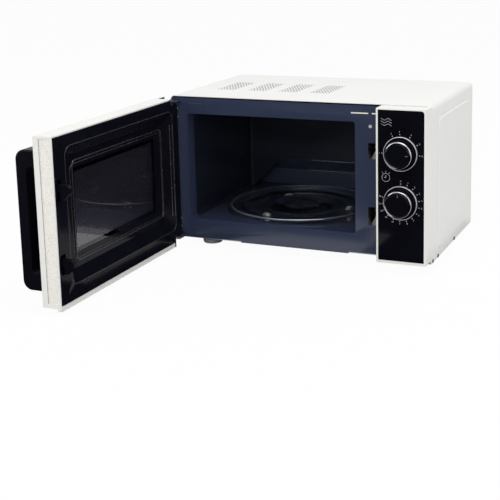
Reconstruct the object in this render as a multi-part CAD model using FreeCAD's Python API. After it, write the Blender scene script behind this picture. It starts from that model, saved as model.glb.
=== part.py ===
import FreeCAD, Part
import math
import os

from FreeCAD import Vector

# Countertop microwave oven, in millimetres.
# The origin is the middle of the four feet, on the plane that they stand on.
# +X is to the right of someone facing the door, -Y is towards them and +Z is up.
# The door and its latch are modelled shut and are turned open about the hinge
# pins just before they are written.

# ---------------------------------------------------------------- driving sizes
body_width = 440.0           # over the cover's two sides
body_depth = 265.0           # cover, from its front edge to its rear edge
body_top = 255.0             # top of the cover above the standing plane
cover_bottom = 10.0          # lower edge of the cover's sides above the standing plane
cover_corner_radius = 8.0
sheet = 0.8                  # steel sheet of the cover, cavity, plate and pan

foot_height = 16.0
foot_spacing_x = 340.0
foot_spacing_y = 190.0
foot_front_inset = 40.0      # front plate to the front feet
foot_top_radius = 18.0
foot_bottom_radius = 16.0
foot_socket_radius = 5.0
foot_socket_depth = 8.0

opening_left_margin = 29.5   # cover's left side to the oven opening
opening_width = 289.5
opening_floor = 49.0         # lower edge of the oven opening above the standing plane
opening_top_margin = 29.0    # oven opening to the top of the cover
collar_depth = 24.0          # the front plate's lip that runs into the cavity
cavity_rear_gap = 13.0       # cavity's upper back wall to the cover's rear edge
cavity_radius = 5.0
pocket_depth = 36.0          # how far the lower back wall stands behind the upper one
pocket_front_height = 56.8
pocket_back_height = 28.8
pocket_side_margin = 3.8
dish_clearance = 6.0         # tray's edge to the round recess in the cavity floor
dish_depth = 12.0
dish_draft = 3.0

panel_width = 77.5           # control panel, at the right of the front
panel_thickness = 32.0       # control panel and door alike
panel_wall = 2.2
panel_bottom = 16.0
front_top_gap = 1.0          # top of the cover to the top of the panel and the door
fascia_thickness = 1.0
fascia_border_side = 3.5
fascia_border_top = 1.8
fascia_border_bottom = 4.4
fascia_corner_radius = 5.0

door_bottom = 12.0
door_side_gap = 1.5          # between the door's free edge and the panel
door_seal_gap = 1.0          # between the shut door and the front plate
door_wall = 2.0
door_sill = 4.0              # thicker lower wall of the door frame
door_lip_drop = 4.0          # lip under the back of the door, below the frame
door_lip_width = 6.0
door_left_inset = 1.0        # door's hinge side to the cover's left side
door_open_angle = 90.0
glass_thickness = 3.0

hinge_inset_x = 4.0          # hinge axis to the door's hinge side
hinge_inset_y = 16.0         # hinge axis to the front plate
hinge_pin_radius = 2.5
running_clearance = 0.06     # radial, shaft in hole
moving_gap = 0.3             # between faces that pass each other

handle_height = 200.0
handle_width = 28.0
handle_reach = 34.0
handle_bar = 17.0
handle_radius = 14.0

knob_base_radius = 26.0
knob_body_radius = 21.5
knob_height = 16.0
power_knob_z = 187.0
timer_knob_z = 112.0
knob_shaft_radius = 3.0

tray_radius = 122.0
tray_thickness = 3.2
tray_rim_height = 6.7
wheel_radius = 6.5
wheel_width = 8.0
wheel_track = 85.0
ring_radius = 74.0
ring_section = 5.0

fan_radius = 44.0

# -------------------------------------------------------------- derived places
half_width = body_width / 2
plate_y = -(foot_spacing_y / 2 + foot_front_inset)      # front face of the front plate
plate_back = plate_y + sheet
rear_y = plate_y + body_depth
front_y = plate_y - panel_thickness                     # front face of the panel and shut door
front_top = body_top - front_top_gap
inner_side = half_width - sheet                         # inner face of the cover's sides

opening_left = -half_width + opening_left_margin
opening_right = opening_left + opening_width
opening_top = body_top - opening_top_margin
cavity_left = opening_left - sheet
cavity_right = opening_right + sheet
cavity_floor = opening_floor - sheet
cavity_ceiling = opening_top + sheet
cavity_back = rear_y - cavity_rear_gap
cavity_x = (cavity_left + cavity_right) / 2
pocket_back = cavity_back + pocket_depth
dish_floor = cavity_floor - dish_depth
tray_y = (plate_y + pocket_back) / 2 - 7.0
pan_top = foot_height + sheet

panel_left = half_width - panel_width
panel_x = (panel_left + half_width) / 2
fascia_left = panel_left + fascia_border_side
fascia_right = half_width - 2.8
fascia_back = front_y + fascia_thickness
panel_wall_back = fascia_back + panel_wall

door_left = -half_width + door_left_inset
door_right = panel_left - door_side_gap
door_back = plate_y - door_seal_gap
hinge_x = door_left + hinge_inset_x
hinge_y = plate_y - hinge_inset_y

dish_radius = tray_radius + dish_clearance
wheel_z = dish_floor + moving_gap + wheel_radius
tray_z = wheel_z + wheel_radius + moving_gap


# ------------------------------------------------------------------- tool kit
def box(x0, x1, y0, y1, z0, z1):
    return Part.makeBox(x1 - x0, y1 - y0, z1 - z0, Vector(x0, y0, z0))


AXES = {"X": Vector(1, 0, 0), "Y": Vector(0, 1, 0), "Z": Vector(0, 0, 1)}


def place(axis, u, v, w):
    """Point at (u, v) across an axis and w along it; u and v keep X, Y, Z order."""
    if axis == "X":
        return Vector(w, u, v)
    if axis == "Y":
        return Vector(u, w, v)
    return Vector(u, v, w)


def rod(axis, u, v, radius, start, end):
    return Part.makeCylinder(radius, end - start, place(axis, u, v, start), AXES[axis])


def tube(axis, u, v, outer, inner, start, end):
    return rod(axis, u, v, outer, start, end).cut(rod(axis, u, v, inner, start, end))


def taper(axis, u, v, radius_start, radius_end, start, end):
    return Part.makeCone(radius_start, radius_end, end - start, place(axis, u, v, start), AXES[axis])


def outline_face(axis, points, w):
    corners = [place(axis, u, v, w) for u, v in points]
    return Part.Face(Part.makePolygon(corners + corners[:1]))


def prism(axis, points, start, end):
    return outline_face(axis, points, start).extrude(AXES[axis] * (end - start))


def edges_along(shape, axis, keep=None):
    found = []
    for edge in shape.Edges:
        if not isinstance(edge.Curve, Part.Line):
            continue
        if abs(edge.tangentAt(edge.FirstParameter).dot(AXES[axis])) < 0.999:
            continue
        if keep is None or keep(edge.CenterOfMass):
            found.append(edge)
    return found


def rounded(shape, axis, radius, keep=None):
    return shape.makeFillet(radius, edges_along(shape, axis, keep))


def rounded_box(x0, x1, y0, y1, z0, z1, axis, radius):
    return rounded(box(x0, x1, y0, y1, z0, z1), axis, radius)


def flat_sided(first, second):
    """Solid between two four-cornered ends whose matching sides are parallel."""
    loops = [first[::-1], second]
    for index in range(4):
        after = (index + 1) % 4
        loops.append([first[index], first[after], second[after], second[index]])
    solid = solid_inside(loops)
    if solid.Volume < 0:
        solid = solid_inside([loop[::-1] for loop in loops])
    return solid


def solid_inside(loops):
    faces = [Part.Face(Part.makePolygon(loop + loop[:1])) for loop in loops]
    return Part.makeSolid(Part.makeShell(faces))


def frustum(axis, low, high, start, end):
    """Solid between two rectangles (u0, u1, v0, v1) that lie across an axis."""
    ends = []
    for rect, w in ((low, start), (high, end)):
        u0, u1, v0, v1 = rect
        ends.append([place(axis, u, v, w) for u, v in ((u0, v0), (u1, v0), (u1, v1), (u0, v1))])
    return flat_sided(ends[0], ends[1])


def revolved(points, x, y):
    """Solid of revolution about a vertical axis, from (radius, height) points."""
    corners = [Vector(x + r, y, z) for r, z in points]
    face = Part.Face(Part.makePolygon(corners + corners[:1]))
    return face.revolve(Vector(x, y, 0), Vector(0, 0, 1), 360)


def joined(shapes):
    result = shapes[0]
    if len(shapes) > 1:
        result = shapes[0].fuse(shapes[1:])
    return result.removeSplitter()


def group(shapes):
    return Part.makeCompound(shapes)


def without(shape, cutters):
    return shape.cut(cutters) if cutters else shape


def screw(axis, u, v, seat, sign, head_radius, head_height, shank_radius, length):
    """Pan-head screw whose head stands on seat and whose shank points along sign."""
    head_end = seat - sign * head_height
    shank_end = seat + sign * length
    head = rod(axis, u, v, head_radius, min(seat, head_end), max(seat, head_end))
    shank = rod(axis, u, v, shank_radius, min(seat, shank_end), max(seat, shank_end))
    slot_w = head_radius * 0.3
    slot_depth = head_height * 0.4
    low = min(head_end, head_end + sign * slot_depth)
    slots = []
    for du, dv in ((head_radius * 0.6, slot_w / 2), (slot_w / 2, head_radius * 0.6)):
        a = place(axis, u - du, v - dv, low)
        size = place(axis, 2 * du, 2 * dv, slot_depth)
        slots.append(Part.makeBox(size.x, size.y, size.z, a))
    return without(joined([head, shank]), slots)


# ------------------------------------------------------------------ the cabinet
side_screw_z = cover_bottom + 3.6
side_screw_radius = 1.6
side_screw_ys = [plate_y + 8.0, plate_y + 39.0, plate_y + 142.0]
emboss_height = 1.5
emboss = (plate_y + 41.0, plate_y + 235.0, cover_bottom + 14.0, body_top - 24.0)
emboss_radius = 10.0

vent_hole_radius = 1.7
vent_pitch = 5.4
vent_columns = 6
vent_rows = 16
vent_patch_pitch = 55.7
vent_patch_count = 4
vent_left = -half_width + 48.0
vent_front = plate_y + 85.0


def vent_holes():
    """Four staggered patches of round holes in the cover's top."""
    holes = []
    for patch in range(vent_patch_count):
        for column in range(vent_columns):
            for row in range(vent_rows):
                stagger = vent_pitch / 2 if row % 2 else 0.0
                x = vent_left + patch * vent_patch_pitch + column * vent_pitch + stagger
                y = vent_front + row * vent_pitch
                holes.append(rod("Z", x, y, vent_hole_radius, body_top - 2 * sheet, body_top + sheet))
    return holes


def side_pad(sign, face, height, shrink):
    """The raised pad pressed out of one side, with a sloping edge."""
    y0, y1, z0, z1 = emboss
    ends = sorted((sign * face, sign * (face + height)))
    pad = rounded_box(ends[0], ends[1], y0 + shrink, y1 - shrink, z0 + shrink, z1 - shrink,
                      "X", emboss_radius - shrink)
    rim = [e for e in pad.Edges if abs(e.CenterOfMass.x - sign * (face + height)) < 0.01]
    return pad.makeChamfer(emboss_height, rim)


tab_thickness = 1.8
tab_proud = 0.3


def tab_places():
    """Spans in x, and lower face, of the cover's tabs that hook into the front plate."""
    low = opening_top + 13.0
    return [(opening_right - 6.0, opening_right + 21.5, low), (opening_right + 27.5, opening_right + 41.0, low),
            (opening_left + 4.5, opening_left + 37.5, low + 3.0)]


def cover_tabs():
    """Tongues that reach down behind the front plate and forward through its slots."""
    tabs = []
    web = plate_back + 0.4
    for x0, x1, z in tab_places():
        tabs.append(box(x0, x1, web, web + sheet, z, body_top - sheet / 2))
        tabs.append(box(x0, x1, plate_y - tab_proud, web + sheet, z, z + tab_thickness))
    return tabs


def outer_cover():
    outer = rounded(box(-half_width, half_width, plate_y, rear_y, cover_bottom, body_top),
                    "Y", cover_corner_radius, lambda c: c.z > body_top - 1)
    inner = rounded(box(-inner_side, inner_side, plate_y - 1, rear_y + 1, cover_bottom - 1, body_top - sheet),
                    "Y", cover_corner_radius - sheet, lambda c: c.z > body_top - 2)
    pads = [side_pad(sign, half_width - 0.1, emboss_height + 0.1, 0.0) for sign in (-1, 1)]
    dents = [side_pad(sign, inner_side - 0.5, emboss_height + 0.5, sheet) for sign in (-1, 1)]
    hems = [box(inner_side - 6.4, inner_side + 0.1, plate_y, rear_y, cover_bottom, cover_bottom + sheet),
            box(-inner_side - 0.1, -inner_side + 6.4, plate_y, rear_y, cover_bottom, cover_bottom + sheet)]
    screw_holes = [rod("X", y, side_screw_z, side_screw_radius + 0.1, -half_width - 1, half_width + 1)
                   for y in side_screw_ys]
    shell = joined([outer.cut(inner)] + pads + hems + cover_tabs())
    return without(shell, dents + screw_holes + vent_holes())


screw_head_radius = 3.0
screw_head_height = 1.4
screw_length = 6.0


def panel_screw(axis, u, v, seat, sign):
    return screw(axis, u, v, seat, sign, screw_head_radius, screw_head_height, side_screw_radius, screw_length)


def panel_screws():
    """The cabinet's self-tapping screws, which are all alike."""
    screws = []
    for y in side_screw_ys:
        screws.append(panel_screw("X", y, side_screw_z, half_width, -1))
        screws.append(panel_screw("X", y, side_screw_z, -half_width, 1))
    screws += [panel_screw("Y", x, z, rear_panel_y, -1) for x, z in rear_screw_places()]
    screws += [panel_screw("Y", x, z, fascia_back + screw_head_height, 1) for x, z in unit_screw_places()]
    return group(screws)


pan_side = inner_side - 1.2
foot_places = [(sx * foot_spacing_x / 2, sy * foot_spacing_y / 2) for sx in (-1, 1) for sy in (-1, 1)]
foot_screw_radius = 1.6
foot_head_z = 12.0
rear_panel_y = rear_y - 1.2
rear_panel_front = rear_panel_y - sheet
motor_radius = 24.5
motor_height = 15.0
motor_top = dish_floor - sheet


def base_pan():
    front = plate_back
    back = rear_panel_front
    floor = box(-pan_side, pan_side, front, back, foot_height, pan_top)
    front_flange = box(tab_right + 1.0, panel_left, front, front + sheet, pan_top, pan_top + 13.0)
    rear_flange = box(-pan_side, pan_side, back - sheet, back, pan_top, pan_top + 13.0)
    skirts = [box(pan_side - sheet, pan_side, front, back, cover_bottom + sheet, foot_height),
              box(-pan_side, -pan_side + sheet, front, back, cover_bottom + sheet, foot_height)]
    holes = [rod("Z", x, y, foot_screw_radius + 0.1, foot_height - 1, pan_top + 1) for x, y in foot_places]
    holes += [rod("X", y, side_screw_z, side_screw_radius + 0.05, -half_width, half_width)
              for y in side_screw_ys]
    for column in range(5):
        for row in range(4):
            x = panel_left - 22.0 + column * 17.0
            y = rear_y - 120.0 + row * 12.0
            holes.append(rounded_box(x, x + 12.0, y, y + 4.0, foot_height - 1, pan_top + 1, "Z", 1.9))
    service = rounded_box(cavity_x - 34.0, cavity_x + 34.0, tray_y - 34.0, tray_y + 34.0,
                          foot_height - 1, pan_top + 1, "Z", 8.0)
    return without(joined([floor, front_flange, rear_flange] + skirts), holes + [service])


def feet():
    solids = []
    for x, y in foot_places:
        body = taper("Z", x, y, foot_bottom_radius, foot_top_radius, 0.0, foot_height)
        cuts = [rod("Z", x, y, foot_socket_radius, -1.0, foot_socket_depth),
                rod("Z", x, y, 4.2, foot_socket_depth, foot_head_z),
                rod("Z", x, y, foot_screw_radius + 0.1, foot_head_z, foot_height + 1)]
        solids.append(without(body, cuts))
    return group(solids)


def foot_screws():
    return group([screw("Z", x, y, foot_head_z, 1, 3.6, 2.6, foot_screw_radius, 9.0) for x, y in foot_places])


def cavity_space(grow):
    """Everything inside the oven, widened by grow all round."""
    front = plate_back if grow else plate_y - 1
    main = box(cavity_left - grow, cavity_right + grow, front, cavity_back + grow,
               cavity_floor - grow, cavity_ceiling + grow)
    main = main.makeFillet(cavity_radius + grow, [e for e in main.Edges if e.CenterOfMass.y > front + 1])
    side = grow * math.sqrt(2)
    base_left = cavity_left + pocket_side_margin
    base_right = cavity_right - pocket_side_margin
    ends = []
    for y, height in ((cavity_back - 8.0, pocket_front_height + 8.0 * pocket_fall()),
                      (pocket_back + grow, pocket_back_height - grow * pocket_fall())):
        low = cavity_floor - grow
        high = cavity_floor + height + 1.25 * grow
        left_low = base_left - side - grow
        right_low = base_right + side + grow
        left_high = base_left + height - side + 1.25 * grow
        right_high = base_right - height + side - 1.25 * grow
        ends.append([Vector(left_low, y, low), Vector(right_low, y, low),
                     Vector(right_high, y, high), Vector(left_high, y, high)])
    pocket = flat_sided(ends[0], ends[1])
    dish = taper("Z", cavity_x, tray_y, dish_radius - dish_draft + grow, dish_radius + grow,
                 dish_floor - grow, cavity_floor + 1.0)
    return joined([main, pocket, dish])


def pocket_fall():
    """Drop of the pocket's roof for each millimetre towards the rear."""
    return (pocket_front_height - pocket_back_height) / pocket_depth


guide_y = tray_y - 30.0          # centre of the waveguide's mouth
guide_z = cavity_floor + 112.0
guide_half_y = 42.0
guide_half_z = 33.0
lamp_y = plate_y + 62.0
lamp_z = cavity_ceiling - 17.0
coupler_hole_radius = 8.0


def hole_grid(axis, u0, v0, columns, rows, pitch, radius, start, end):
    holes = []
    for column in range(columns):
        for row in range(rows):
            stagger = pitch / 2 if row % 2 else 0.0
            holes.append(rod(axis, u0 + column * pitch + stagger, v0 + row * pitch, radius, start, end))
    return holes


def cavity_parts():
    """The oven's walls and its floor plate."""
    shell = cavity_space(sheet).cut(cavity_space(0.0))
    cuts = [box(cavity_right - 1, cavity_right + 2 * sheet, guide_y - 38.0, guide_y + 38.0,
                guide_z - 20.0, guide_z + 20.0),
            rod("Z", cavity_x, tray_y, coupler_hole_radius, dish_floor - 3, dish_floor + 2)]
    cuts += hole_grid("X", lamp_y - 9.0, lamp_z - 8.8, 5, 5, 4.4, 1.5, cavity_right - 1, cavity_right + 2)
    cuts += hole_grid("X", plate_y + 45.0, guide_z - 34.0, 7, 6, 5.0, 1.6, cavity_right - 1, cavity_right + 2)
    cuts += hole_grid("X", cavity_back - 49.0, opening_floor + 52.0, 3, 5, 4.2, 1.4,
                      cavity_left - 2, cavity_left + 1)
    whole = without(shell, cuts)
    return {"cavity_shell": whole.cut(floor_plate_room()), "cavity_floor": whole.common(floor_plate_room())}


def floor_plate_room():
    """Room of the floor plate, which is welded into the shell and carries the round recess."""
    reach = dish_radius + sheet + 3.0
    side = cavity_radius + 1.0
    return box(cavity_left + side, cavity_right - side, tray_y - reach, tray_y + reach,
               dish_floor - 5.0, cavity_floor)


plate_left = -half_width + 3.5
plate_right = panel_left + 9.0
plate_bottom = 17.5
plate_top = body_top - 3.0
slot_left = panel_left - 22.5
slot_right = panel_left - 2.5
upper_slot = (169.0, 194.0)
lower_slot = (64.0, 93.0)
hinge_tab = 2.0                    # thickness of the hinge tabs
upper_tab_z = front_top - 8.0      # underside of the upper tab
lower_tab_z = door_bottom + 8.0    # underside of the lower tab
tab_left = hinge_x + 0.5
tab_right = hinge_x + 14.5


def front_plate():
    plate = box(plate_left, plate_right, plate_y, plate_back, plate_bottom, plate_top)
    tongue = box(-half_width + 121.0, panel_left - 55.5, plate_y, plate_back, plate_bottom - 2.5, plate_bottom)
    collar = rounded_box(opening_left - sheet, opening_right + sheet, plate_y, plate_y + collar_depth,
                         opening_floor - sheet, opening_top + sheet, "Y", cavity_radius)
    hole = rounded_box(opening_left, opening_right, plate_y - 1, plate_y + collar_depth + 1,
                       opening_floor, opening_top, "Y", cavity_radius - sheet)
    cuts = [hole]
    for z0, z1 in (upper_slot, lower_slot):
        cuts.append(rounded_box(slot_left, slot_right, plate_y - 1, plate_back + 1, z0, z1, "Y", 1.5))
    for x0, x1, z in tab_places():
        cuts.append(box(x0 - 0.3, x1 + 0.3, plate_y - 1, plate_back + 1, z - 0.3, z + tab_thickness + 0.3))
    for z in (upper_tab_z, lower_tab_z):
        cuts.append(box(tab_left - 0.4, tab_right + 0.4, plate_y - 1, plate_back + 1,
                        z - 0.2, z + hinge_tab + 0.2))
    cuts += [rod("Y", x, z, rivet_radius, plate_y - 1, plate_back + 1) for x, z in rivet_places()]
    return without(joined([plate, tongue, collar]), cuts)


rivet_radius = 1.6
rivet_head_radius = 2.6
rivet_head_height = 0.7


def rivet_places():
    """Where the front plate is riveted to the hinge brackets and the latch bracket."""
    places = [(tab_left + 5.0, upper_tab_z - 12.0), (tab_left + 5.0, upper_tab_z - 26.0),
              (tab_left + 5.0, lower_tab_z + 14.0), (tab_left + 5.0, lower_tab_z + 28.0)]
    return places + [(slot_left + 4.0, upper_slot[1] + 26.0)]


def plate_rivets():
    rivets = []
    for x, z in rivet_places():
        head = rod("Y", x, z, rivet_head_radius, plate_y - rivet_head_height, plate_y)
        rivets.append(joined([head, rod("Y", x, z, rivet_radius, plate_y, plate_back + hinge_tab)]))
    return group(rivets)


pin_reach = 10.0
pin_head_radius = 3.6


def hinge_bracket(tab_z, leg_low, leg_high, pin_sign):
    """Leg behind the front plate, a tab through it and the pin staked in the tab."""
    tab_top = tab_z + hinge_tab
    leg = box(tab_left, tab_right, plate_back, plate_back + hinge_tab, leg_low, leg_high)
    arm = box(tab_left, tab_right, hinge_y, plate_back + hinge_tab, tab_z, tab_top)
    nose = rod("Z", hinge_x, hinge_y, 4.4, tab_z, tab_top)
    bridge = prism("Z", [(hinge_x - 2.6, hinge_y + 3.0), (hinge_x, hinge_y - 4.4), (tab_right, hinge_y),
                         (tab_right, plate_y - 2.0), (tab_left, plate_y - 2.0)], tab_z, tab_top)
    pin_ends = sorted((tab_z if pin_sign < 0 else tab_top,
                       tab_z - pin_reach if pin_sign < 0 else tab_top + pin_reach))
    head_ends = (tab_top, tab_top + 1.2) if pin_sign < 0 else (tab_z - 1.2, tab_z)
    pin = rod("Z", hinge_x, hinge_y, hinge_pin_radius, pin_ends[0], pin_ends[1])
    head = rod("Z", hinge_x, hinge_y, pin_head_radius, head_ends[0], head_ends[1])
    cuts = [rod("Y", x, z, rivet_radius, plate_y, plate_back + 3 * hinge_tab) for x, z in rivet_places()]
    return without(joined([leg, arm, nose, bridge, pin, head]), cuts)


def hinge_brackets():
    upper = hinge_bracket(upper_tab_z, upper_tab_z - 34.0, upper_tab_z + hinge_tab, -1)
    lower = hinge_bracket(lower_tab_z, lower_tab_z, lower_tab_z + 36.0, 1)
    return group([upper, lower])


gland_x = half_width - 34.0
gland_z = 58.0
gland_bore_radius = 3.9
spacer_z = body_top - 60.0
spacer_reach = 26.0
fan_x = (cavity_right + half_width) / 2 - 1.0
fan_z = body_top - 77.0


def rear_panel():
    side = inner_side - 0.4
    top = body_top - sheet - 0.6
    sheet_back = box(-side, side, rear_panel_front, rear_panel_y, pan_top + 0.2, top)
    sheet_back = rounded(sheet_back, "Y", cover_corner_radius, lambda c: c.z > top - 1)
    flanges = [box(-side, -side + sheet, rear_panel_front - 9.0, rear_panel_front, pan_top + 14.0, top - 9.0),
               box(side - sheet, side, rear_panel_front - 9.0, rear_panel_front, pan_top + 14.0, top - 9.0),
               box(-side + 9.0, side - 9.0, rear_panel_front - 9.0, rear_panel_front, top - sheet, top)]
    cuts = [cavity_space(sheet + 0.6), rod("Y", gland_x, gland_z, 7.6, rear_y - 10, rear_y + 5)]
    for row in range(9):
        z = fan_z - 36.0 + row * 9.0
        half = math.sqrt(max(fan_radius ** 2 - (z - fan_z) ** 2, 100.0))
        cuts.append(rounded_box(fan_x - half, fan_x + half, rear_y - 10, rear_y + 5, z - 2.0, z + 2.0, "Y", 1.9))
    for column in range(9):
        x = cavity_left + 30.0 + column * 9.0
        cuts.append(rounded_box(x, x + 4.0, rear_y - 10, rear_y + 5, body_top - 62.0, body_top - 32.0, "Y", 1.9))
    cuts += [rod("Y", x, z, 1.7, rear_y - 10, rear_y + 5) for x, z in rear_screw_places()]
    return without(joined([sheet_back] + flanges), cuts)


def rear_screw_places():
    edge = half_width - 9.0
    return [(-edge, 40.0), (edge, 40.0), (-edge, body_top - 20.0), (edge, body_top - 20.0),
            (0.0, body_top - 14.0), (-edge, body_top / 2 - 20.0), (edge, body_top / 2 - 20.0)]


def wall_spacers():
    """Two plastic stops that keep the oven's back clear of a wall."""
    solids = []
    for sign in (-1, 1):
        x = sign * (half_width - 24.0)
        block = frustum("Y", (x - 10.0, x + 10.0, spacer_z - 15.0, spacer_z + 15.0),
                        (x - 7.0, x + 7.0, spacer_z - 12.0, spacer_z + 12.0), rear_panel_y, rear_y + spacer_reach)
        hollow = box(x - 5.0, x + 5.0, rear_panel_y - 1, rear_y + spacer_reach - 3.0, spacer_z - 9.0, spacer_z + 9.0)
        solids.append(block.cut(hollow))
    return group(solids)


def cord_gland():
    body = joined([rod("Y", gland_x, gland_z, 7.4, rear_panel_front - 4.0, rear_panel_y),
                   rod("Y", gland_x, gland_z, 10.0, rear_panel_y, rear_panel_y + 4.0),
                   taper("Y", gland_x, gland_z, 8.0, 6.2, rear_panel_y + 4.0, rear_panel_y + 12.0)])
    return body.cut(rod("Y", gland_x, gland_z, gland_bore_radius, rear_y - 20, rear_y + 30))


# ------------------------------------------------------------- control panel
knob_holes = [(panel_x, power_knob_z), (panel_x, timer_knob_z)]
unit_screw_offset = 20.0
unit_depth = 34.0


def unit_screw_places():
    return [(panel_x + s * unit_screw_offset, z) for _, z in knob_holes for s in (-1, 1)]


def control_panel_frame():
    shell = box(panel_left, half_width, front_y, plate_y, panel_bottom, front_top)
    shell = rounded(shell, "Z", 1.6, lambda c: c.y < front_y + 1)
    space = box(panel_left + panel_wall, half_width - panel_wall, panel_wall_back, plate_y + 1,
                panel_bottom + panel_wall, front_top - panel_wall)
    ribs = [box(panel_left + panel_wall, half_width - panel_wall, panel_wall_back, plate_y - 6.0,
                z, z + 1.6) for z in (panel_bottom + 42.0, (power_knob_z + timer_knob_z) / 2)]
    cuts = [fascia_blank(0.1, front_y - 1, fascia_back)]
    cuts += [rod("Y", x, z, knob_shaft_radius + 1.5, front_y, plate_y) for x, z in knob_holes]
    cuts += [rod("Y", x, z, side_screw_radius + 0.1, front_y, plate_y) for x, z in unit_screw_places()]
    return without(joined([shell.cut(space)] + ribs), cuts)


def fascia_blank(grow, start, end):
    blank = box(fascia_left - grow, fascia_right + grow, start, end,
                panel_bottom + fascia_border_bottom - grow, front_top - fascia_border_top + grow)
    return rounded(blank, "Y", fascia_corner_radius,
                   lambda c: c.x > fascia_right - 1 and c.z > front_top - fascia_border_top - 1)


def control_panel_fascia():
    holes = [rod("Y", x, z, knob_shaft_radius + 1.5, front_y - 1, front_y + 5) for x, z in knob_holes]
    return without(fascia_blank(0.0, front_y, fascia_back), holes)


def unit_casing(z, half, depth):
    """Casing of the timer or the power selector, screwed behind the panel."""
    casing = rounded_box(panel_x - half, panel_x + half, panel_wall_back, panel_wall_back + depth,
                         z - half, z + half, "Y", 4.0)
    back = rounded_box(panel_x - half + 6.0, panel_x + half - 6.0, panel_wall_back + depth,
                       panel_wall_back + depth + 3.0, z - half + 6.0, z + half - 6.0, "Y", 3.0)
    terminals = [box(panel_x + dx - 0.4, panel_x + dx + 0.4, panel_wall_back + depth, panel_wall_back + depth + 11.0,
                     z - half + 2.0, z - half + 5.5) for dx in (-14.0, -7.0, 7.0, 14.0)]
    cuts = [rod("Y", panel_x, z, knob_shaft_radius + running_clearance, front_y, front_y + 22.0)]
    cuts += [rod("Y", panel_x + s * unit_screw_offset, z, side_screw_radius, front_y, panel_wall_back + 8.0)
             for s in (-1, 1)]
    return without(joined([casing, back] + terminals), cuts)


def unit_screw_sinks():
    return [rod("Y", x, z, screw_head_radius + 0.1, fascia_back - 0.1, fascia_back + screw_head_height)
            for x, z in unit_screw_places()]


knob_gap = 0.8                       # between a knob and the fascia
knob_base_height = 3.0


def knob(z):
    back = front_y - knob_gap
    base = rod("Y", panel_x, z, knob_base_radius - 1.6, back - knob_base_height, back)
    body = taper("Y", panel_x, z, knob_body_radius - 0.8, knob_body_radius,
                 back - knob_height, back - knob_base_height)
    skirt = joined([base, body])
    socket = rod("Y", panel_x, z, knob_shaft_radius, back - 11.0, back + 1)
    trim_seat = tube("Y", panel_x, z, knob_body_radius + 1, knob_body_radius - 2.2, back - knob_height - 1,
                     back - knob_height + 1.6)
    dimple = tube("Y", panel_x, z, 17.5, 16.9, back - knob_height - 1, back - knob_height + 0.4)
    pointer = box(panel_x - 0.7, panel_x + 0.7, back - knob_height - 1, back - knob_height + 0.5,
                  z + 11.0, z + 15.5)
    return without(skirt, [socket, trim_seat, dimple, pointer])


def knob_ring(z):
    """Bright ring pressed round the knob's base."""
    back = front_y - knob_gap
    ring = tube("Y", panel_x, z, knob_base_radius, knob_base_radius - 1.6, back - knob_base_height - 0.6, back)
    return ring


def knob_trim(z):
    """Bright ring let into the rim of the knob's face."""
    back = front_y - knob_gap
    face = back - knob_height
    ring = taper("Y", panel_x, z, knob_body_radius - 1.2, knob_body_radius - 0.7, face - 0.5, face + 1.6)
    return ring.cut(rod("Y", panel_x, z, knob_body_radius - 2.2, face - 2, face + 3))


def knob_shaft(z):
    back = front_y - knob_gap
    return rod("Y", panel_x, z, knob_shaft_radius, back - 11.0, front_y + 20.0)


def turned_knob(shape, z, degrees):
    turned = shape.copy()
    turned.rotate(Vector(panel_x, 0, z), Vector(0, 1, 0), degrees)
    return turned


# ------------------------------------------------------------------- the door
ledge = 10.0
grip_ledge = 34.0                    # wider ledge behind the handle
dent_depth = 1.2                     # of the textured panel in the door's free edge
inner_cover_thickness = 3.0
recess = (door_left + 21.0, door_right - 29.0, 38.0, front_top - 19.5)
recess_depth = 12.5
recess_draft = 16.0
recess_wall = 2.2                    # measured across the face, where the walls slope
recess_radius = 12.0
screen_opening = (opening_left + 42.0, opening_right - 24.0, opening_floor + 33.0, opening_top - 34.0)
floor_thickness = 1.0
notch_width = 22.0
notch_depth = 25.0
hook_x0 = slot_left + 6.0
hook_x1 = slot_left + 14.0
latch_lift = 4.0
hook_neck = 10.0
hook_reach = 18.0
upper_hook_z = upper_slot[0] + 8.0   # underside of the upper hook's neck
lower_hook_z = lower_slot[0] + 8.0
barb_drop = 11.0
bar_y = plate_y - 12.0
bar_half = 4.0
spring_height = 18.0
spring_radius = 2.6
spring_wire = 0.4
spring_turns = 7


def notch(grow, reach):
    """Room at the hinge corners for the tabs, from the door's back to reach."""
    right = door_left + notch_width + grow
    top = upper_tab_z - 1.5 - grow
    bottom = lower_tab_z + hinge_tab + 2.0 + grow
    start = plate_y - reach - grow
    return [box(door_left - 1, right, start, plate_y, top, front_top + 1),
            box(door_left - 1, right, start, plate_y, door_bottom - 1, bottom)]


def door_lip():
    """Lip along the foot of the door's back, rounded at its free end."""
    back = door_back - 1.0
    bar = box(door_left + notch_width, door_right, back - door_lip_width, back,
              door_bottom - door_lip_drop, door_bottom + 1.0)
    return rounded(bar, "Y", door_lip_drop - 1.0, lambda c: c.x > door_right - 1 and c.z < door_bottom)


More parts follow.
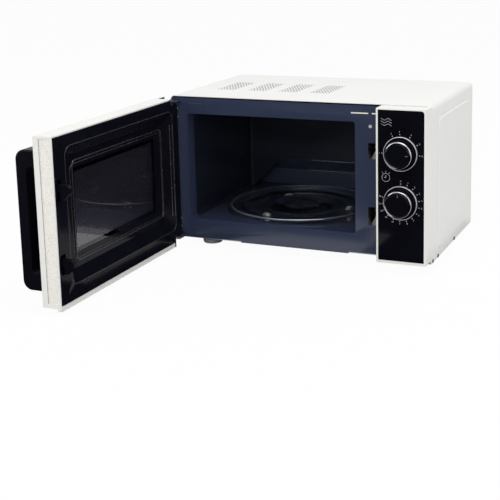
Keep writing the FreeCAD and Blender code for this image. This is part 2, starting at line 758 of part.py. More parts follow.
def door_outer_frame():
    shell = box(door_left, door_right, front_y, door_back - 1.0, door_bottom, front_top)
    space = box(door_left + door_wall, door_right - door_wall, front_y - 1, door_back,
                door_bottom + door_sill, front_top - door_wall)
    ledge_front = front_y + glass_thickness
    ledge_ring = box(door_left + 1, door_right - 1, ledge_front, ledge_front + 2.0, door_bottom + 1, front_top - 1)
    ledge_hole = box(door_left + door_wall + ledge, door_right - grip_ledge, ledge_front - 1, ledge_front + 3,
                     door_bottom + door_sill + ledge, front_top - door_wall - ledge)
    walls = [shape.common(shell) for shape in notch(door_wall, notch_depth)]
    side_dent = rounded_box(door_right - dent_depth, door_right + 1, front_y + 9.0, door_back - 3.0,
                            door_bottom + 6.0, front_top - 3.0, "X", 1.5)
    cuts = notch(0.0, notch_depth) + [side_dent]
    cuts += [rod("Z", hinge_x, hinge_y, hinge_pin_radius + 0.6, door_bottom, front_top)]
    cuts += [rod("Y", x, z, 2.3, front_y, front_y + 12) for x, z in handle_screw_places()]
    solid = joined([shell.cut(space), ledge_ring.cut(ledge_hole), door_lip()] + walls)
    return without(solid, cuts)


def door_bushes():
    solids = []
    top = upper_tab_z - 1.5 - door_wall
    bottom = lower_tab_z + hinge_tab + 2.0 + door_wall
    for low, high in ((top - 8.0, top), (bottom, bottom + 8.0)):
        block = box(door_left + door_wall, hinge_x + 11.0, hinge_y - 7.0, hinge_y + 7.0, low, high)
        bore = rod("Z", hinge_x, hinge_y, hinge_pin_radius + running_clearance, low - 1, high + 1)
        solids.append(block.cut(bore))
    return group(solids)


def door_glass():
    inset = door_wall + 0.3
    glass = rounded_box(door_left + inset, door_right - inset, front_y, front_y + glass_thickness,
                        door_bottom + door_sill + 0.3, front_top - inset, "Y", 4.0)
    return glass.cut([rod("Y", x, z, 2.4, front_y - 1, front_y + 10) for x, z in handle_screw_places()])


def grown_rect(rect, grow):
    u0, u1, v0, v1 = rect
    return (u0 - grow, u1 + grow, v0 - grow, v1 + grow)


def hook_slots(margin, start, end):
    slots = []
    for z in (upper_hook_z, lower_hook_z):
        slots.append(box(hook_x0 - margin, hook_x1 + margin, start, end,
                         z - margin - barb_drop, z + hook_neck + latch_lift + margin))
    return slots


def rounded_outline(rect, radius, y):
    """Closed outline of a rectangle with rounded corners, across the Y axis."""
    block = rounded_box(rect[0], rect[1], y, y + 1.0, rect[2], rect[3], "Y", radius)
    front = [face for face in block.Faces if abs(face.CenterOfMass.y - y) < 0.001]
    return front[0].OuterWire


def recess_block(grow, start, end):
    """The drafted recess in the inner cover, between two depths."""
    low = rounded_outline(grown_rect(recess, grow - recess_draft), recess_radius, start)
    high = rounded_outline(grown_rect(recess, grow), recess_radius, end)
    return Part.makeLoft([low, high], True, True)


def door_inner_cover():
    inset = door_wall + 0.2
    back = door_back - inner_cover_thickness
    floor = door_back - recess_depth
    border = box(door_left + inset, door_right - inset, back, door_back,
                 door_bottom + door_sill + 0.2, front_top - inset)
    border = rounded(border, "Y", 3.0)
    block = recess_block(recess_wall, floor - floor_thickness, back + 1.0)
    space = recess_block(0.0, floor, door_back + 0.01)
    window = box(screen_opening[0], screen_opening[1], floor - 5, floor + 5, screen_opening[2], screen_opening[3])
    window = rounded(window, "Y", 3.0)
    cuts = [space, window] + notch(door_wall + 0.3, notch_depth) + hook_slots(2.0, back - 1, door_back + 1)
    return without(joined([border, block]), cuts)


def door_window_film():
    floor = door_back - recess_depth
    x0, x1, z0, z1 = grown_rect(screen_opening, 6.0)
    return rounded_box(x0, x1, floor, floor + 0.3, z0, z1, "Y", 3.0)


flange_back = door_back - inner_cover_thickness - 1.0
dish_back = door_back - recess_depth - floor_thickness - 0.6


def latch_guides():
    """Clips that hold the latch bar, and the stop above its spring."""
    x0 = hook_x0 - 3.0
    x1 = hook_x1 + 3.0
    back = bar_y - bar_half - 3.0
    front = flange_back - sheet / 2
    solids = []
    for z in (upper_hook_z - 22.0, lower_hook_z + 34.0):
        clip = box(x0, x1, back, front, z, z + 7.0)
        solids.append(clip.cut(box(hook_x0 + 0.7, hook_x1 - 0.7, bar_y - bar_half - 0.4,
                                   bar_y + bar_half - 1.6, z - 1, z + 8)))
    stop = upper_hook_z + hook_neck + spring_height
    solids.append(box(x0, x1, back, front, stop, stop + 4.0))
    return solids


def door_panel():
    """Pressed steel panel with the choke walls and the latch guides, behind the inner cover."""
    inset = door_wall + 1.0
    x0 = door_left + inset
    x1 = door_right - inset
    z0 = door_bottom + door_sill + 1.0
    z1 = front_top - inset
    flange = box(x0, x1, flange_back - sheet, flange_back, z0, z1)
    dish_rect = grown_rect(recess, 2.6)
    dish = box(dish_rect[0] - sheet, dish_rect[1] + sheet, dish_back - sheet, flange_back,
               dish_rect[2] - sheet, dish_rect[3] + sheet)
    dish_space = box(dish_rect[0], dish_rect[1], dish_back, flange_back + 1, dish_rect[2], dish_rect[3])
    choke_left = door_left + notch_width + door_wall + 4.0
    choke_front = flange_back - 17.0
    choke = [box(choke_left, x1, choke_front, flange_back, z1 - sheet, z1),
             box(choke_left, x1, choke_front, flange_back, z0, z0 + sheet),
             box(x1 - sheet, x1, choke_front, flange_back, z0, z1)]
    window = box(screen_opening[0], screen_opening[1], dish_back - 5, dish_back + 5,
                 screen_opening[2], screen_opening[3])
    bush_room = [box(door_left, hinge_x + 12.0, plate_y - 30.0, plate_y, upper_tab_z - 13.0, front_top),
                 box(door_left, hinge_x + 12.0, plate_y - 30.0, plate_y, door_bottom, lower_tab_z + 17.0)]
    cuts = [dish_space, window] + notch(door_wall + 0.8, notch_depth) + bush_room
    cuts += hook_slots(2.5, flange_back - 3, flange_back + 3)
    return without(joined([flange, dish] + choke + latch_guides()), cuts)


def door_screen():
    """Thin sheet behind the panel's window, which carries the fine perforation."""
    x0, x1, z0, z1 = grown_rect(screen_opening, 5.0)
    return box(x0, x1, dish_back - sheet - 0.5, dish_back - sheet, z0, z1)


def handle_x():
    return (door_right - 4.0 - handle_width, door_right - 4.0)


def handle_z():
    middle = (door_bottom + front_top) / 2
    return (middle - handle_height / 2, middle + handle_height / 2)


def handle_screw_places():
    x0, x1 = handle_x()
    z0, z1 = handle_z()
    middle = (x0 + x1) / 2
    return [(middle, z0 + 12.0), (middle, z1 - 12.0)]


def door_handle():
    x0, x1 = handle_x()
    z0, z1 = handle_z()
    outer_y = front_y - handle_reach
    bar = box(x0, x1, outer_y, front_y, z0, z1)
    bar = rounded(bar, "X", handle_radius, lambda c: c.y < outer_y + 1)
    gap = box(x0 - 1, x1 + 1, outer_y + handle_bar, front_y + 1, z0 + 24.0, z1 - 24.0)
    gap = rounded(gap, "X", 8.0, lambda c: c.y < front_y)
    grip = bar.cut(gap)
    grip = grip.makeFillet(3.0, [e for e in grip.Edges if e.BoundBox.YMax < front_y - 0.5
                                 and e.BoundBox.XLength < 0.01 and e.BoundBox.YMin < outer_y + handle_radius + 0.1
                                 and e.BoundBox.YMax < outer_y + handle_radius + 0.1])
    sockets = [rod("Y", x, z, 1.8, front_y - 12.0, front_y + 1) for x, z in handle_screw_places()]
    return grip.cut(sockets)


def handle_screws():
    seat = front_y + glass_thickness + 2.0
    return group([screw("Y", x, z, seat, -1, 3.8, 2.2, 1.8, 15.0) for x, z in handle_screw_places()])


def hook_outline(z):
    """Neck with a barb that drops behind the front plate's slot edge."""
    catch = plate_back + 1.2
    tip = plate_y + hook_reach
    return [(bar_y - bar_half, z), (catch, z), (catch, z - barb_drop), (catch + 5.0, z - barb_drop),
            (tip, z - 1.0), (tip, z + hook_neck - 4.0), (tip - 4.0, z + hook_neck),
            (bar_y - bar_half, z + hook_neck)]


def latch_hooks():
    prongs = [prism("X", hook_outline(z), hook_x0, hook_x1) for z in (upper_hook_z, lower_hook_z)]
    bar = box(hook_x0 + 1.0, hook_x1 - 1.0, bar_y - bar_half, bar_y + bar_half - 2.0,
              lower_hook_z + 1.0, upper_hook_z + hook_neck)
    return joined(prongs + [bar])


def latch_spring():
    """Coil that pushes the latch down; it starts on top of the latch bar."""
    base = upper_hook_z + hook_neck + spring_wire
    height = spring_height - 2 * spring_wire
    path = Part.makeHelix(height / spring_turns, height, spring_radius)
    section = Part.Wire(Part.makeCircle(spring_wire, Vector(spring_radius, 0, 0), Vector(0, 1, 0)))
    coil = Part.Wire(path.Edges).makePipeShell([section], True, True)
    coil.translate(Vector((hook_x0 + hook_x1) / 2, bar_y - 1.0, base))
    return coil


# ------------------------------------------------------------- latch bracket
bracket_left = slot_left - 6.0
bracket_depth = 34.0
switch_size = (10.0, 20.0, 16.0)
button_travel = 1.5
button_radius = 1.4


def pocket_spans():
    return [(lower_slot[0] - 9.0, lower_slot[1] + 3.0), (upper_slot[0] - 9.0, upper_slot[1] + 3.0)]


def latch_bracket():
    """Moulded block behind the front plate with one pocket for each hook."""
    right = slot_right + 4.0
    low = pocket_spans()[0][0] - 6.0
    high = pocket_spans()[1][1] + 6.0
    block = box(bracket_left, right, plate_back, plate_back + bracket_depth, low, high)
    cuts = []
    for z0, z1 in pocket_spans():
        cuts.append(box(slot_left - 1.0, slot_right + 1.0, plate_back - 1,
                        plate_back + bracket_depth - 3.0, z0, z1))
    cuts.append(box(slot_left - 1.0, right + 1, plate_back + 3.0, plate_back + bracket_depth + 1,
                    pocket_spans()[0][1] + 5.0, pocket_spans()[1][0] - 5.0))
    ramps = []
    for z0, _ in pocket_spans():
        ramps.append(prism("X", [(plate_back, z0), (plate_back + bracket_depth - 3.0, z0),
                                 (plate_back + bracket_depth - 3.0, z0 + 6.0), (plate_back + 24.0, z0 + 1.0),
                                 (plate_back, z0 + 1.0)], slot_left - 1.0, slot_right + 1.0))
    for button in switch_layout():
        x, y, z = button
        cuts.append(rod("Y", x, z, button_radius + 0.4, y - 12.0, y + 1.0))
    return without(joined([block.cut(cuts[:3])] + ramps), cuts[3:])


def switch_layout():
    """Front face centre of each microswitch: two behind the upper hook, one behind the lower."""
    y = plate_back + bracket_depth
    x = (hook_x0 + hook_x1) / 2
    return [(x - 5.4, y, upper_slot[0] + 14.0), (x + 5.4, y, upper_slot[0] + 14.0), (x, y, lower_slot[0] + 14.0)]


def microswitches():
    """Three alike switches that the latch hooks work."""
    solids = []
    sx, sy, sz = switch_size
    for x, y, z in switch_layout():
        body = box(x - sx / 2, x + sx / 2, y, y + sy, z - sz / 2, z + sz / 2)
        tags = [box(x - 0.4, x + 0.4, y + sy, y + sy + 7.0, z + dz - 1.6, z + dz + 1.6) for dz in (-5.0, 5.0)]
        well = rod("Y", x, z, button_radius + running_clearance, y - 1, y + 6.0)
        solids.append(joined([body] + tags).cut(well))
    return group(solids)


def switch_buttons():
    return group([rod("Y", x, z, button_radius, y - 9.0, y + 5.5 - button_travel) for x, y, z in switch_layout()])


# -------------------------------------------------------------- the turntable
coupler_top = tray_z - 0.4
lobe_reach = 13.0


def turntable_motor():
    body = rod("Z", cavity_x, tray_y, motor_radius, motor_top - motor_height, motor_top)
    ears = prism("Z", [(cavity_x - 33.0, tray_y - 6.0), (cavity_x + 33.0, tray_y - 6.0),
                       (cavity_x + 33.0, tray_y + 6.0), (cavity_x - 33.0, tray_y + 6.0)],
                 motor_top - 1.0, motor_top)
    terminals = box(cavity_x - 8.0, cavity_x + 8.0, tray_y + motor_radius - 2.0, tray_y + motor_radius + 7.0,
                    motor_top - 12.0, motor_top - 4.0)
    cuts = [rod("Z", cavity_x, tray_y, knob_shaft_radius + running_clearance, motor_top - 9.0, motor_top + 1)]
    cuts += [rod("Z", cavity_x + s * 29.0, tray_y, 1.7, motor_top - 3, motor_top + 1) for s in (-1, 1)]
    return without(joined([body, ears, terminals]), cuts)


def turntable_coupler():
    """Three-lobed hub that turns the tray, with the shaft it stands on."""
    hub = rod("Z", cavity_x, tray_y, 6.5, motor_top + 0.4, coupler_top)
    lobes = []
    for index in range(3):
        lobe = box(cavity_x, cavity_x + lobe_reach, tray_y - 3.0, tray_y + 3.0, coupler_top - 6.0, coupler_top)
        lobe.rotate(Vector(cavity_x, tray_y, 0), Vector(0, 0, 1), 120.0 * index + 20.0)
        lobes.append(lobe)
    shaft = rod("Z", cavity_x, tray_y, knob_shaft_radius, motor_top - 8.5, coupler_top - 3.0)
    return joined([hub, shaft] + lobes)


def ring_spoke(angle, shape):
    turned = shape.copy()
    turned.rotate(Vector(cavity_x, tray_y, 0), Vector(0, 0, 1), angle)
    return turned


wheel_angles = [7.0, 127.0, 247.0]
axle_radius = 1.8


def roller_ring():
    low = wheel_z - ring_section / 2
    ring = tube("Z", cavity_x, tray_y, ring_radius + 3.0, ring_radius - 3.0, low, low + ring_section)
    axle = rod("X", tray_y, wheel_z, axle_radius, cavity_x + ring_radius + 1.0,
               cavity_x + wheel_track + wheel_width / 2 + 0.5)
    cap = rod("X", tray_y, wheel_z, axle_radius + 1.2, cavity_x + wheel_track + wheel_width / 2 + 0.5,
              cavity_x + wheel_track + wheel_width / 2 + 2.0)
    spokes = []
    for angle in wheel_angles:
        spokes += [ring_spoke(angle, axle), ring_spoke(angle, cap)]
    return joined([ring] + spokes)


def roller_wheel(angle):
    half = wheel_width / 2
    wheel = rod("X", tray_y, wheel_z, wheel_radius, cavity_x + wheel_track - half, cavity_x + wheel_track + half)
    wheel = wheel.makeChamfer(0.8, [e for e in wheel.Edges if isinstance(e.Curve, Part.Circle)])
    wheel = wheel.cut(rod("X", tray_y, wheel_z, axle_radius + running_clearance,
                          cavity_x + wheel_track - half - 1, cavity_x + wheel_track + half + 1))
    return ring_spoke(angle, wheel)


def glass_tray():
    """Round glass plate with a raised rim and three ribs that sit between the coupler's lobes."""
    t = tray_thickness
    r = tray_radius
    rim = tray_z + tray_rim_height
    profile = [(0.0, tray_z), (r - 15.0, tray_z), (r - 5.0, tray_z + 1.6), (r - 0.9, rim - 1.4), (r, rim - 0.5),
               (r - 0.9, rim), (r - 2.6, rim - 0.4), (r - 7.0, tray_z + t + 1.4), (r - 15.5, tray_z + t),
               (0.0, tray_z + t)]
    plate = revolved(profile, cavity_x, tray_y)
    ribs = []
    for index in range(3):
        rib = box(cavity_x + 8.5, cavity_x + 15.0, tray_y - 2.5, tray_y + 2.5, tray_z - 4.0, tray_z + 0.5)
        ribs.append(ring_spoke(120.0 * index + 80.0, rib))
    return joined([plate] + ribs)


# -------------------------------------------------- high-voltage and cooling
guide_depth = 30.0
magnetron_x0 = cavity_right + sheet + guide_depth
magnetron_half_y = 42.0
magnetron_half_z = 38.0
magnetron_height = 58.0
magnetron_y = guide_y + 32.0
magnetron_z = guide_z


def waveguide():
    x0 = cavity_right + sheet
    x1 = magnetron_x0
    outer = box(x0, x1, guide_y - guide_half_y, magnetron_y + magnetron_half_y, guide_z - guide_half_z,
                guide_z + guide_half_z)
    space = box(x0 - 1, x1 - sheet, guide_y - guide_half_y + sheet, magnetron_y + magnetron_half_y - sheet,
                guide_z - guide_half_z + sheet, guide_z + guide_half_z - sheet)
    hole = rod("X", magnetron_y, magnetron_z, 14.0, x1 - 3, x1 + 1)
    return outer.cut([space, hole])


def waveguide_cover():
    """Mica plate over the waveguide's mouth, inside the cavity."""
    plate = rounded_box(cavity_right - 1.0, cavity_right, guide_y - 43.0, guide_y + 43.0,
                        guide_z - 25.0, guide_z + 25.0, "X", 4.0)
    return plate


def magnetron_yoke():
    """Open steel frame round the magnetron, with its filter box."""
    x0 = magnetron_x0
    x1 = x0 + magnetron_height
    y0 = magnetron_y - magnetron_half_y
    y1 = magnetron_y + magnetron_half_y
    z0 = magnetron_z - magnetron_half_z
    z1 = magnetron_z + magnetron_half_z
    outer = box(x0, x1, y0, y1, z0, z1)
    space = box(x0 + 2.0, x1 - 2.0, y0 - 1, y1 + 1, z0 + 2.0, z1 - 2.0)
    hole = rod("X", magnetron_y, magnetron_z, 11.0, x0 - 1, x0 + 3.0)
    filter_box = rounded_box(x1, x1 + 22.0, magnetron_y - 24.0, magnetron_y + 24.0, z0 + 4.0, z0 + 58.0, "X", 3.0)
    socket = box(x1 + 4.0, x1 + 18.0, magnetron_y - 34.0, magnetron_y - 24.0, z0 + 20.0, z0 + 36.0)
    return joined([outer.cut([space, hole]), filter_box, socket])


def magnetron_anode():
    """Anode, its cooling fins, the two magnets and the antenna."""
    x0 = magnetron_x0
    x1 = x0 + magnetron_height
    anode = rod("X", magnetron_y, magnetron_z, 19.0, x0 + 14.0, x1 - 14.0)
    fins = []
    for index in range(5):
        x = x0 + 17.0 + index * 5.4
        fins.append(box(x, x + 0.7, magnetron_y - magnetron_half_y + 1.0, magnetron_y + magnetron_half_y - 1.0,
                        magnetron_z - magnetron_half_z + 2.0, magnetron_z + magnetron_half_z - 2.0))
    magnets = [rod("X", magnetron_y, magnetron_z, 27.0, x0 + 2.0, x0 + 14.0),
               rod("X", magnetron_y, magnetron_z, 27.0, x1 - 14.0, x1 - 2.0)]
    stem = rod("X", magnetron_y, magnetron_z, 9.5, x0 - 14.0, x0 + 3.0)
    dome = rod("X", magnetron_y, magnetron_z, 7.4, x0 - 24.0, x0 - 13.0)
    return joined([anode] + fins + magnets + [stem, dome])


coil_half_x = 30.0
switch_to_coil = 1.4
transformer_x = (hook_x0 + hook_x1 + switch_size[0]) / 2 + switch_to_coil + coil_half_x
transformer_y = plate_y + 92.0
core_half_x = 43.0
core_half_y = 27.0
core_height = 70.0


def transformer_core():
    low = pan_top + 3.0
    core = box(transformer_x - core_half_x, transformer_x + core_half_x, transformer_y - core_half_y,
               transformer_y + core_half_y, low, low + core_height)
    windows = [box(transformer_x + s - 9.0, transformer_x + s + 9.0, transformer_y - core_half_y - 1,
                   transformer_y + core_half_y + 1, low + 15.0, low + core_height - 15.0) for s in (-22.0, 22.0)]
    base = box(transformer_x - core_half_x - 6.0, transformer_x + core_half_x + 6.0,
               transformer_y - core_half_y + 4.0, transformer_y + core_half_y - 4.0, pan_top, low)
    return joined([core.cut(windows), base])


def transformer_windings():
    """Primary and secondary coils round the middle limb."""
    low = pan_top + 3.0
    solids = []
    for z0, z1 in ((low + 15.5, low + 34.0), (low + 36.0, low + core_height - 15.5)):
        coil = rounded_box(transformer_x - coil_half_x, transformer_x + coil_half_x,
                           transformer_y - core_half_y - 15.0, transformer_y + core_half_y + 15.0,
                           z0, z1, "Z", 12.0)
        limb = box(transformer_x - 13.2, transformer_x + 13.2, transformer_y - core_half_y - 0.2,
                   transformer_y + core_half_y + 0.2, z0 - 1, z1 + 1)
        sides = [box(transformer_x + s - 6.0, transformer_x + s + 6.0, transformer_y - core_half_y - 0.2,
                     transformer_y + core_half_y + 0.2, z0 - 1, z1 + 1) for s in (-36.8, 36.8)]
        solids.append(coil.cut([limb] + sides))
    return group(solids)


capacitor_x = transformer_x
capacitor_y = rear_y - 62.0
capacitor_z = pan_top + 22.0


def capacitor():
    can = rounded_box(capacitor_x - 45.0, capacitor_x + 40.0, capacitor_y - 26.0, capacitor_y + 26.0,
                      pan_top + 4.0, pan_top + 36.0, "X", 15.0)
    tags = [box(capacitor_x + 40.0, capacitor_x + 49.0, capacitor_y + dy - 3.0, capacitor_y + dy + 3.0,
                capacitor_z - 2.4, capacitor_z - 1.6) for dy in (-10.0, 10.0)]
    saddle = box(capacitor_x - 24.0, capacitor_x - 10.0, capacitor_y - 18.0, capacitor_y + 18.0,
                 pan_top, pan_top + 5.0)
    return joined([can, saddle] + tags)


def high_voltage_diode():
    x = transformer_x - 20.0
    y = capacitor_y - 50.0
    body = rod("X", y, pan_top + 12.0, 4.0, x, x + 22.0)
    lead = rod("X", y, pan_top + 12.0, 0.7, x - 9.0, x + 30.0)
    tab = box(x + 28.0, x + 31.0, y - 5.0, y + 5.0, pan_top, pan_top + 16.0)
    return joined([body, lead, tab])


shroud_half = 52.0
shroud_back = rear_panel_front
shroud_front = shroud_back - 22.0
blade_width = 14.0


def fan_shroud():
    x1 = min(fan_x + shroud_half, inner_side - 2.0)
    x0 = max(fan_x - shroud_half, cavity_right + 2.0)
    block = box(x0, x1, shroud_front, shroud_back, fan_z - shroud_half, fan_z + shroud_half)
    bore = rod("Y", fan_x, fan_z, fan_radius + 2.5, shroud_front - 1, shroud_back + 1)
    legs = []
    for dx, dz in ((-30.0, -48.0), (30.0, -48.0), (-30.0, 48.0), (30.0, 48.0)):
        legs.append(rod("Y", fan_x + dx, fan_z + dz, 2.4, motor_back() - 4.0, shroud_front + 1.0))
    return joined([block.cut(bore)] + legs)


def motor_back():
    """Rear face of the fan motor's laminations."""
    return shroud_front - 8.0


def fan_motor():
    y1 = motor_back()
    y0 = y1 - 18.0
    core = rounded_box(fan_x - 26.0, fan_x + 26.0, y0, y1, fan_z - 24.0, fan_z + 30.0, "Y", 2.0)
    coil = rounded_box(fan_x - 17.0, fan_x + 17.0, y0 - 7.0, y1 + 5.0, fan_z + 29.0, fan_z + 42.0, "Y", 4.0)
    bell = rod("Y", fan_x, fan_z, 11.0, y0 - 8.0, y0)
    bearing = rod("Y", fan_x, fan_z, 7.0, y1, y1 + 5.0)
    bore = rod("Y", fan_x, fan_z, 2.0 + running_clearance, y0 - 4.0, y1 + 6.0)
    return joined([core, coil, bell, bearing] + fan_arms()).cut(bore)


def fan_arms():
    """Straps that carry the fan motor on the shroud's four legs."""
    y1 = motor_back()
    strap = [box(fan_x - 36.0, fan_x + 36.0, y1 - 6.0, y1 - 4.0, fan_z + dz - 5.0, fan_z + dz + 5.0)
             for dz in (-48.0, 48.0)]
    spine = [box(fan_x + dx - 4.5, fan_x + dx + 4.5, y1 - 6.0, y1 - 4.0, fan_z - 48.0, fan_z + 48.0)
             for dx in (-30.0, 30.0)]
    return strap + spine


def fan_blade():
    """Five-bladed fan on the motor's shaft."""
    y0 = shroud_front + 4.0
    hub = rod("Y", fan_x, fan_z, 10.0, y0 - 1.0, y0 + blade_width - 1.0)
    blades = []
    for index in range(5):
        blade = box(fan_x + 8.0, fan_x + fan_radius + 2.0, y0 + blade_width / 2 - 1.4, y0 + blade_width / 2 + 0.2,
                    fan_z - 13.0, fan_z + 13.0)
        blade.rotate(Vector(fan_x, y0 + blade_width / 2, fan_z), Vector(1, 0, 0), 24.0)
        blade.rotate(Vector(fan_x, 0, fan_z), Vector(0, 1, 0), 72.0 * index)
        blades.append(blade)
    disc = rod("Y", fan_x, fan_z, fan_radius, y0 - 2.0, y0 + blade_width + 2.0)
    shaft = rod("Y", fan_x, fan_z, 2.0, motor_back() - 21.0, shroud_back - 4.0)
    return joined([joined([hub] + blades).common(disc), shaft])


def oven_lamp():
    """Bulb in its open-fronted metal holder."""
    x0 = cavity_right + sheet
    outer = box(x0, x0 + 34.0, lamp_y - 18.0, lamp_y + 18.0, lamp_z - 12.0, lamp_z + 12.0)
    space = box(x0 - 1, x0 + 32.0, lamp_y - 17.0, lamp_y + 17.0, lamp_z - 11.0, lamp_z + 11.0)
    bulb = [taper("X", lamp_y, lamp_z, 6.0, 9.5, x0 + 5.0, x0 + 9.0),
            rod("X", lamp_y, lamp_z, 9.5, x0 + 9.0, x0 + 20.0),
            taper("X", lamp_y, lamp_z, 9.5, 7.0, x0 + 20.0, x0 + 25.0),
            rod("X", lamp_y, lamp_z, 7.0, x0 + 25.0, x0 + 34.0)]
    cap = rod("X", lamp_y, lamp_z, 7.8, x0 + 34.0, x0 + 44.0)
    return joined([outer.cut(space)] + bulb + [cap])


board_x0 = cavity_right + 14.0
board_y0 = plate_y + 96.0
board_z = body_top - 30.0


def filter_board():
    """Mains filter: coil, two capacitors and the fuse in its clips."""
    middle = board_y0 + 26.0
    top = board_z + 1.6
    board = box(board_x0, board_x0 + 84.0, board_y0, board_y0 + 52.0, board_z, top)
    coil = tube("Z", board_x0 + 22.0, middle, 13.0, 6.0, top, board_z + 12.0)
    caps = [box(board_x0 + 42.0, board_x0 + 60.0, y, y + 8.0, top, board_z + 14.0)
            for y in (board_y0 + 8.0, board_y0 + 36.0)]
    fuse = rod("X", middle, board_z + 6.0, 3.2, board_x0 + 45.0, board_x0 + 77.0)
    clips = [box(board_x0 + x, board_x0 + x + 5.0, middle - 4.0, middle + 4.0, top, board_z + 8.0)
             for x in (45.0, 72.0)]
    return joined([board, coil, fuse] + caps + clips)


def thermal_cutout():
    y = magnetron_y - 8.0
    z = magnetron_z + magnetron_half_z
    x = magnetron_x0 + 28.0
    return joined([box(x - 12.0, x + 12.0, y - 6.0, y + 6.0, z, z + 1.0), rod("Z", x, y, 8.0, z + 1.0, z + 8.0),
                   box(x - 10.0, x - 5.0, y - 0.4, y + 0.4, z + 8.0, z + 15.0),
                   box(x + 5.0, x + 10.0, y - 0.4, y + 0.4, z + 8.0, z + 15.0)])


# ----------------------------------------------------------------- the build
def opened(shape):
    """Turn a piece of the door from shut to its resting, open place."""
    turned = shape.copy()
    turned.rotate(Vector(hinge_x, hinge_y, 0), Vector(0, 0, 1), -door_open_angle)
    return turned


def cabinet_parts():
    return {
        "outer_cover": outer_cover(),
        "panel_screws": panel_screws(),
        "base_pan": base_pan(),
        "feet": feet(),
        "foot_screws": foot_screws(),
        "front_plate": front_plate(),
        "plate_rivets": plate_rivets(),
        "hinge_brackets": hinge_brackets(),
        "rear_panel": rear_panel(),
        "wall_spacers": wall_spacers(),
        "cord_gland": cord_gland(),
        "control_panel_frame": without(control_panel_frame(), unit_screw_sinks()),
        "control_panel_fascia": control_panel_fascia(),
        "timer_casing": unit_casing(timer_knob_z, 28.0, unit_depth),
        "power_selector_casing": unit_casing(power_knob_z, 26.0, unit_depth - 8.0),
        "latch_bracket": latch_bracket(),
        "microswitches": microswitches(),
        "switch_buttons": switch_buttons(),
    }


def knob_parts():
    parts = {}
    for name, z, turn in (("power_knob", power_knob_z, 90.0), ("timer_knob", timer_knob_z, 0.0)):
        parts[name] = turned_knob(knob(z), z, turn)
        parts[name + "_ring"] = knob_ring(z)
        parts[name + "_trim"] = knob_trim(z)
        parts[name.replace("knob", "shaft")] = knob_shaft(z)
    return parts


def turntable_parts():
    parts = {
        "turntable_motor": turntable_motor(),
        "turntable_coupler": turntable_coupler(),
        "roller_ring": roller_ring(),
        "glass_tray": glass_tray(),
    }
    for number, angle in enumerate(wheel_angles, 1):
        parts["roller_wheel_%d" % number] = roller_wheel(angle)
    return parts


def inner_parts():
    return {
        "waveguide": waveguide(),
        "waveguide_cover": waveguide_cover(),
        "magnetron_yoke": magnetron_yoke(),
        "magnetron_anode": magnetron_anode(),
        "transformer_core": transformer_core(),
        "transformer_windings": transformer_windings(),
        "capacitor": capacitor(),
        "high_voltage_diode": high_voltage_diode(),
        "fan_shroud": fan_shroud(),
        "fan_motor": fan_motor(),
        "fan_blade": fan_blade(),
        "oven_lamp": oven_lamp(),
        "filter_board": filter_board(),
        "thermal_cutout": thermal_cutout(),
    }


def door_parts():
    shut = {
        "door_outer_frame": door_outer_frame(),
        "door_bushes": door_bushes(),
        "door_glass": door_glass(),
        "door_inner_cover": door_inner_cover(),
        "door_window_film": door_window_film(),
        "door_panel": door_panel(),
        "door_screen": door_screen(),
        "door_handle": door_handle(),
        "handle_screws": handle_screws(),
        "latch_hooks": latch_hooks(),
        "latch_spring": latch_spring(),
    }
    return {name: opened(shape) for name, shape in shut.items()}


def main():
    os.makedirs("parts", exist_ok=True)
    parts = {}
    for family in (cabinet_parts, cavity_parts, knob_parts, turntable_parts, inner_parts, door_parts):
        parts.update(family())
    for name, shape in parts.items():
        shape.exportStep("parts/%s.step" % name)
    print(len(parts), "parts written")


main()
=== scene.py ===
import math

import bmesh
import bpy
from bpy.props import FloatProperty, FloatVectorProperty, IntProperty, PointerProperty
from mathutils import Matrix, Vector


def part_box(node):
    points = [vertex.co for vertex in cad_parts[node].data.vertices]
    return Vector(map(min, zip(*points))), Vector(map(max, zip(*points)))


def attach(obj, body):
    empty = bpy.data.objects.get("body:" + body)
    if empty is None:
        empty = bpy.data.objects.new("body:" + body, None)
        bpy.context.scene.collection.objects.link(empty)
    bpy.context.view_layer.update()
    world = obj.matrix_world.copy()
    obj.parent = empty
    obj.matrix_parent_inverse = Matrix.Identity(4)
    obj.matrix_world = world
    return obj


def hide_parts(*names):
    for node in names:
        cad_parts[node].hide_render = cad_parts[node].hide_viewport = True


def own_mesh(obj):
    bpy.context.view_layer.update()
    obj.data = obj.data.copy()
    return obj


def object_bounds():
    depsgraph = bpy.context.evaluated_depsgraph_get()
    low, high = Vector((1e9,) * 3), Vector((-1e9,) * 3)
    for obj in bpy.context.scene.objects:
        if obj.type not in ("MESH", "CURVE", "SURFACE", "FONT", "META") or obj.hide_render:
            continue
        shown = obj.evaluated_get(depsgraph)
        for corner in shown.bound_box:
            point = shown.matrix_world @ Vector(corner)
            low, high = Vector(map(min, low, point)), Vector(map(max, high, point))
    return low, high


bl_info = {
    "name": "Microwave Oven",
    "version": (1, 0, 0),
    "blender": (4, 5, 0),
    "location": "View3D > Sidebar > Oven",
    "description": "Builds the looks of a countertop microwave oven round its packed model",
    "category": "Add Mesh",
}

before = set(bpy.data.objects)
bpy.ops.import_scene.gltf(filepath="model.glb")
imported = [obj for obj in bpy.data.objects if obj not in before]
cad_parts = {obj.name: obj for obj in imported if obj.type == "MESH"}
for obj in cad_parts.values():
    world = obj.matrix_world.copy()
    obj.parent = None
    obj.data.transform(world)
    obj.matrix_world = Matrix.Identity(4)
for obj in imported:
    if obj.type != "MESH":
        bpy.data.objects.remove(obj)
cad_low, cad_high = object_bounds()

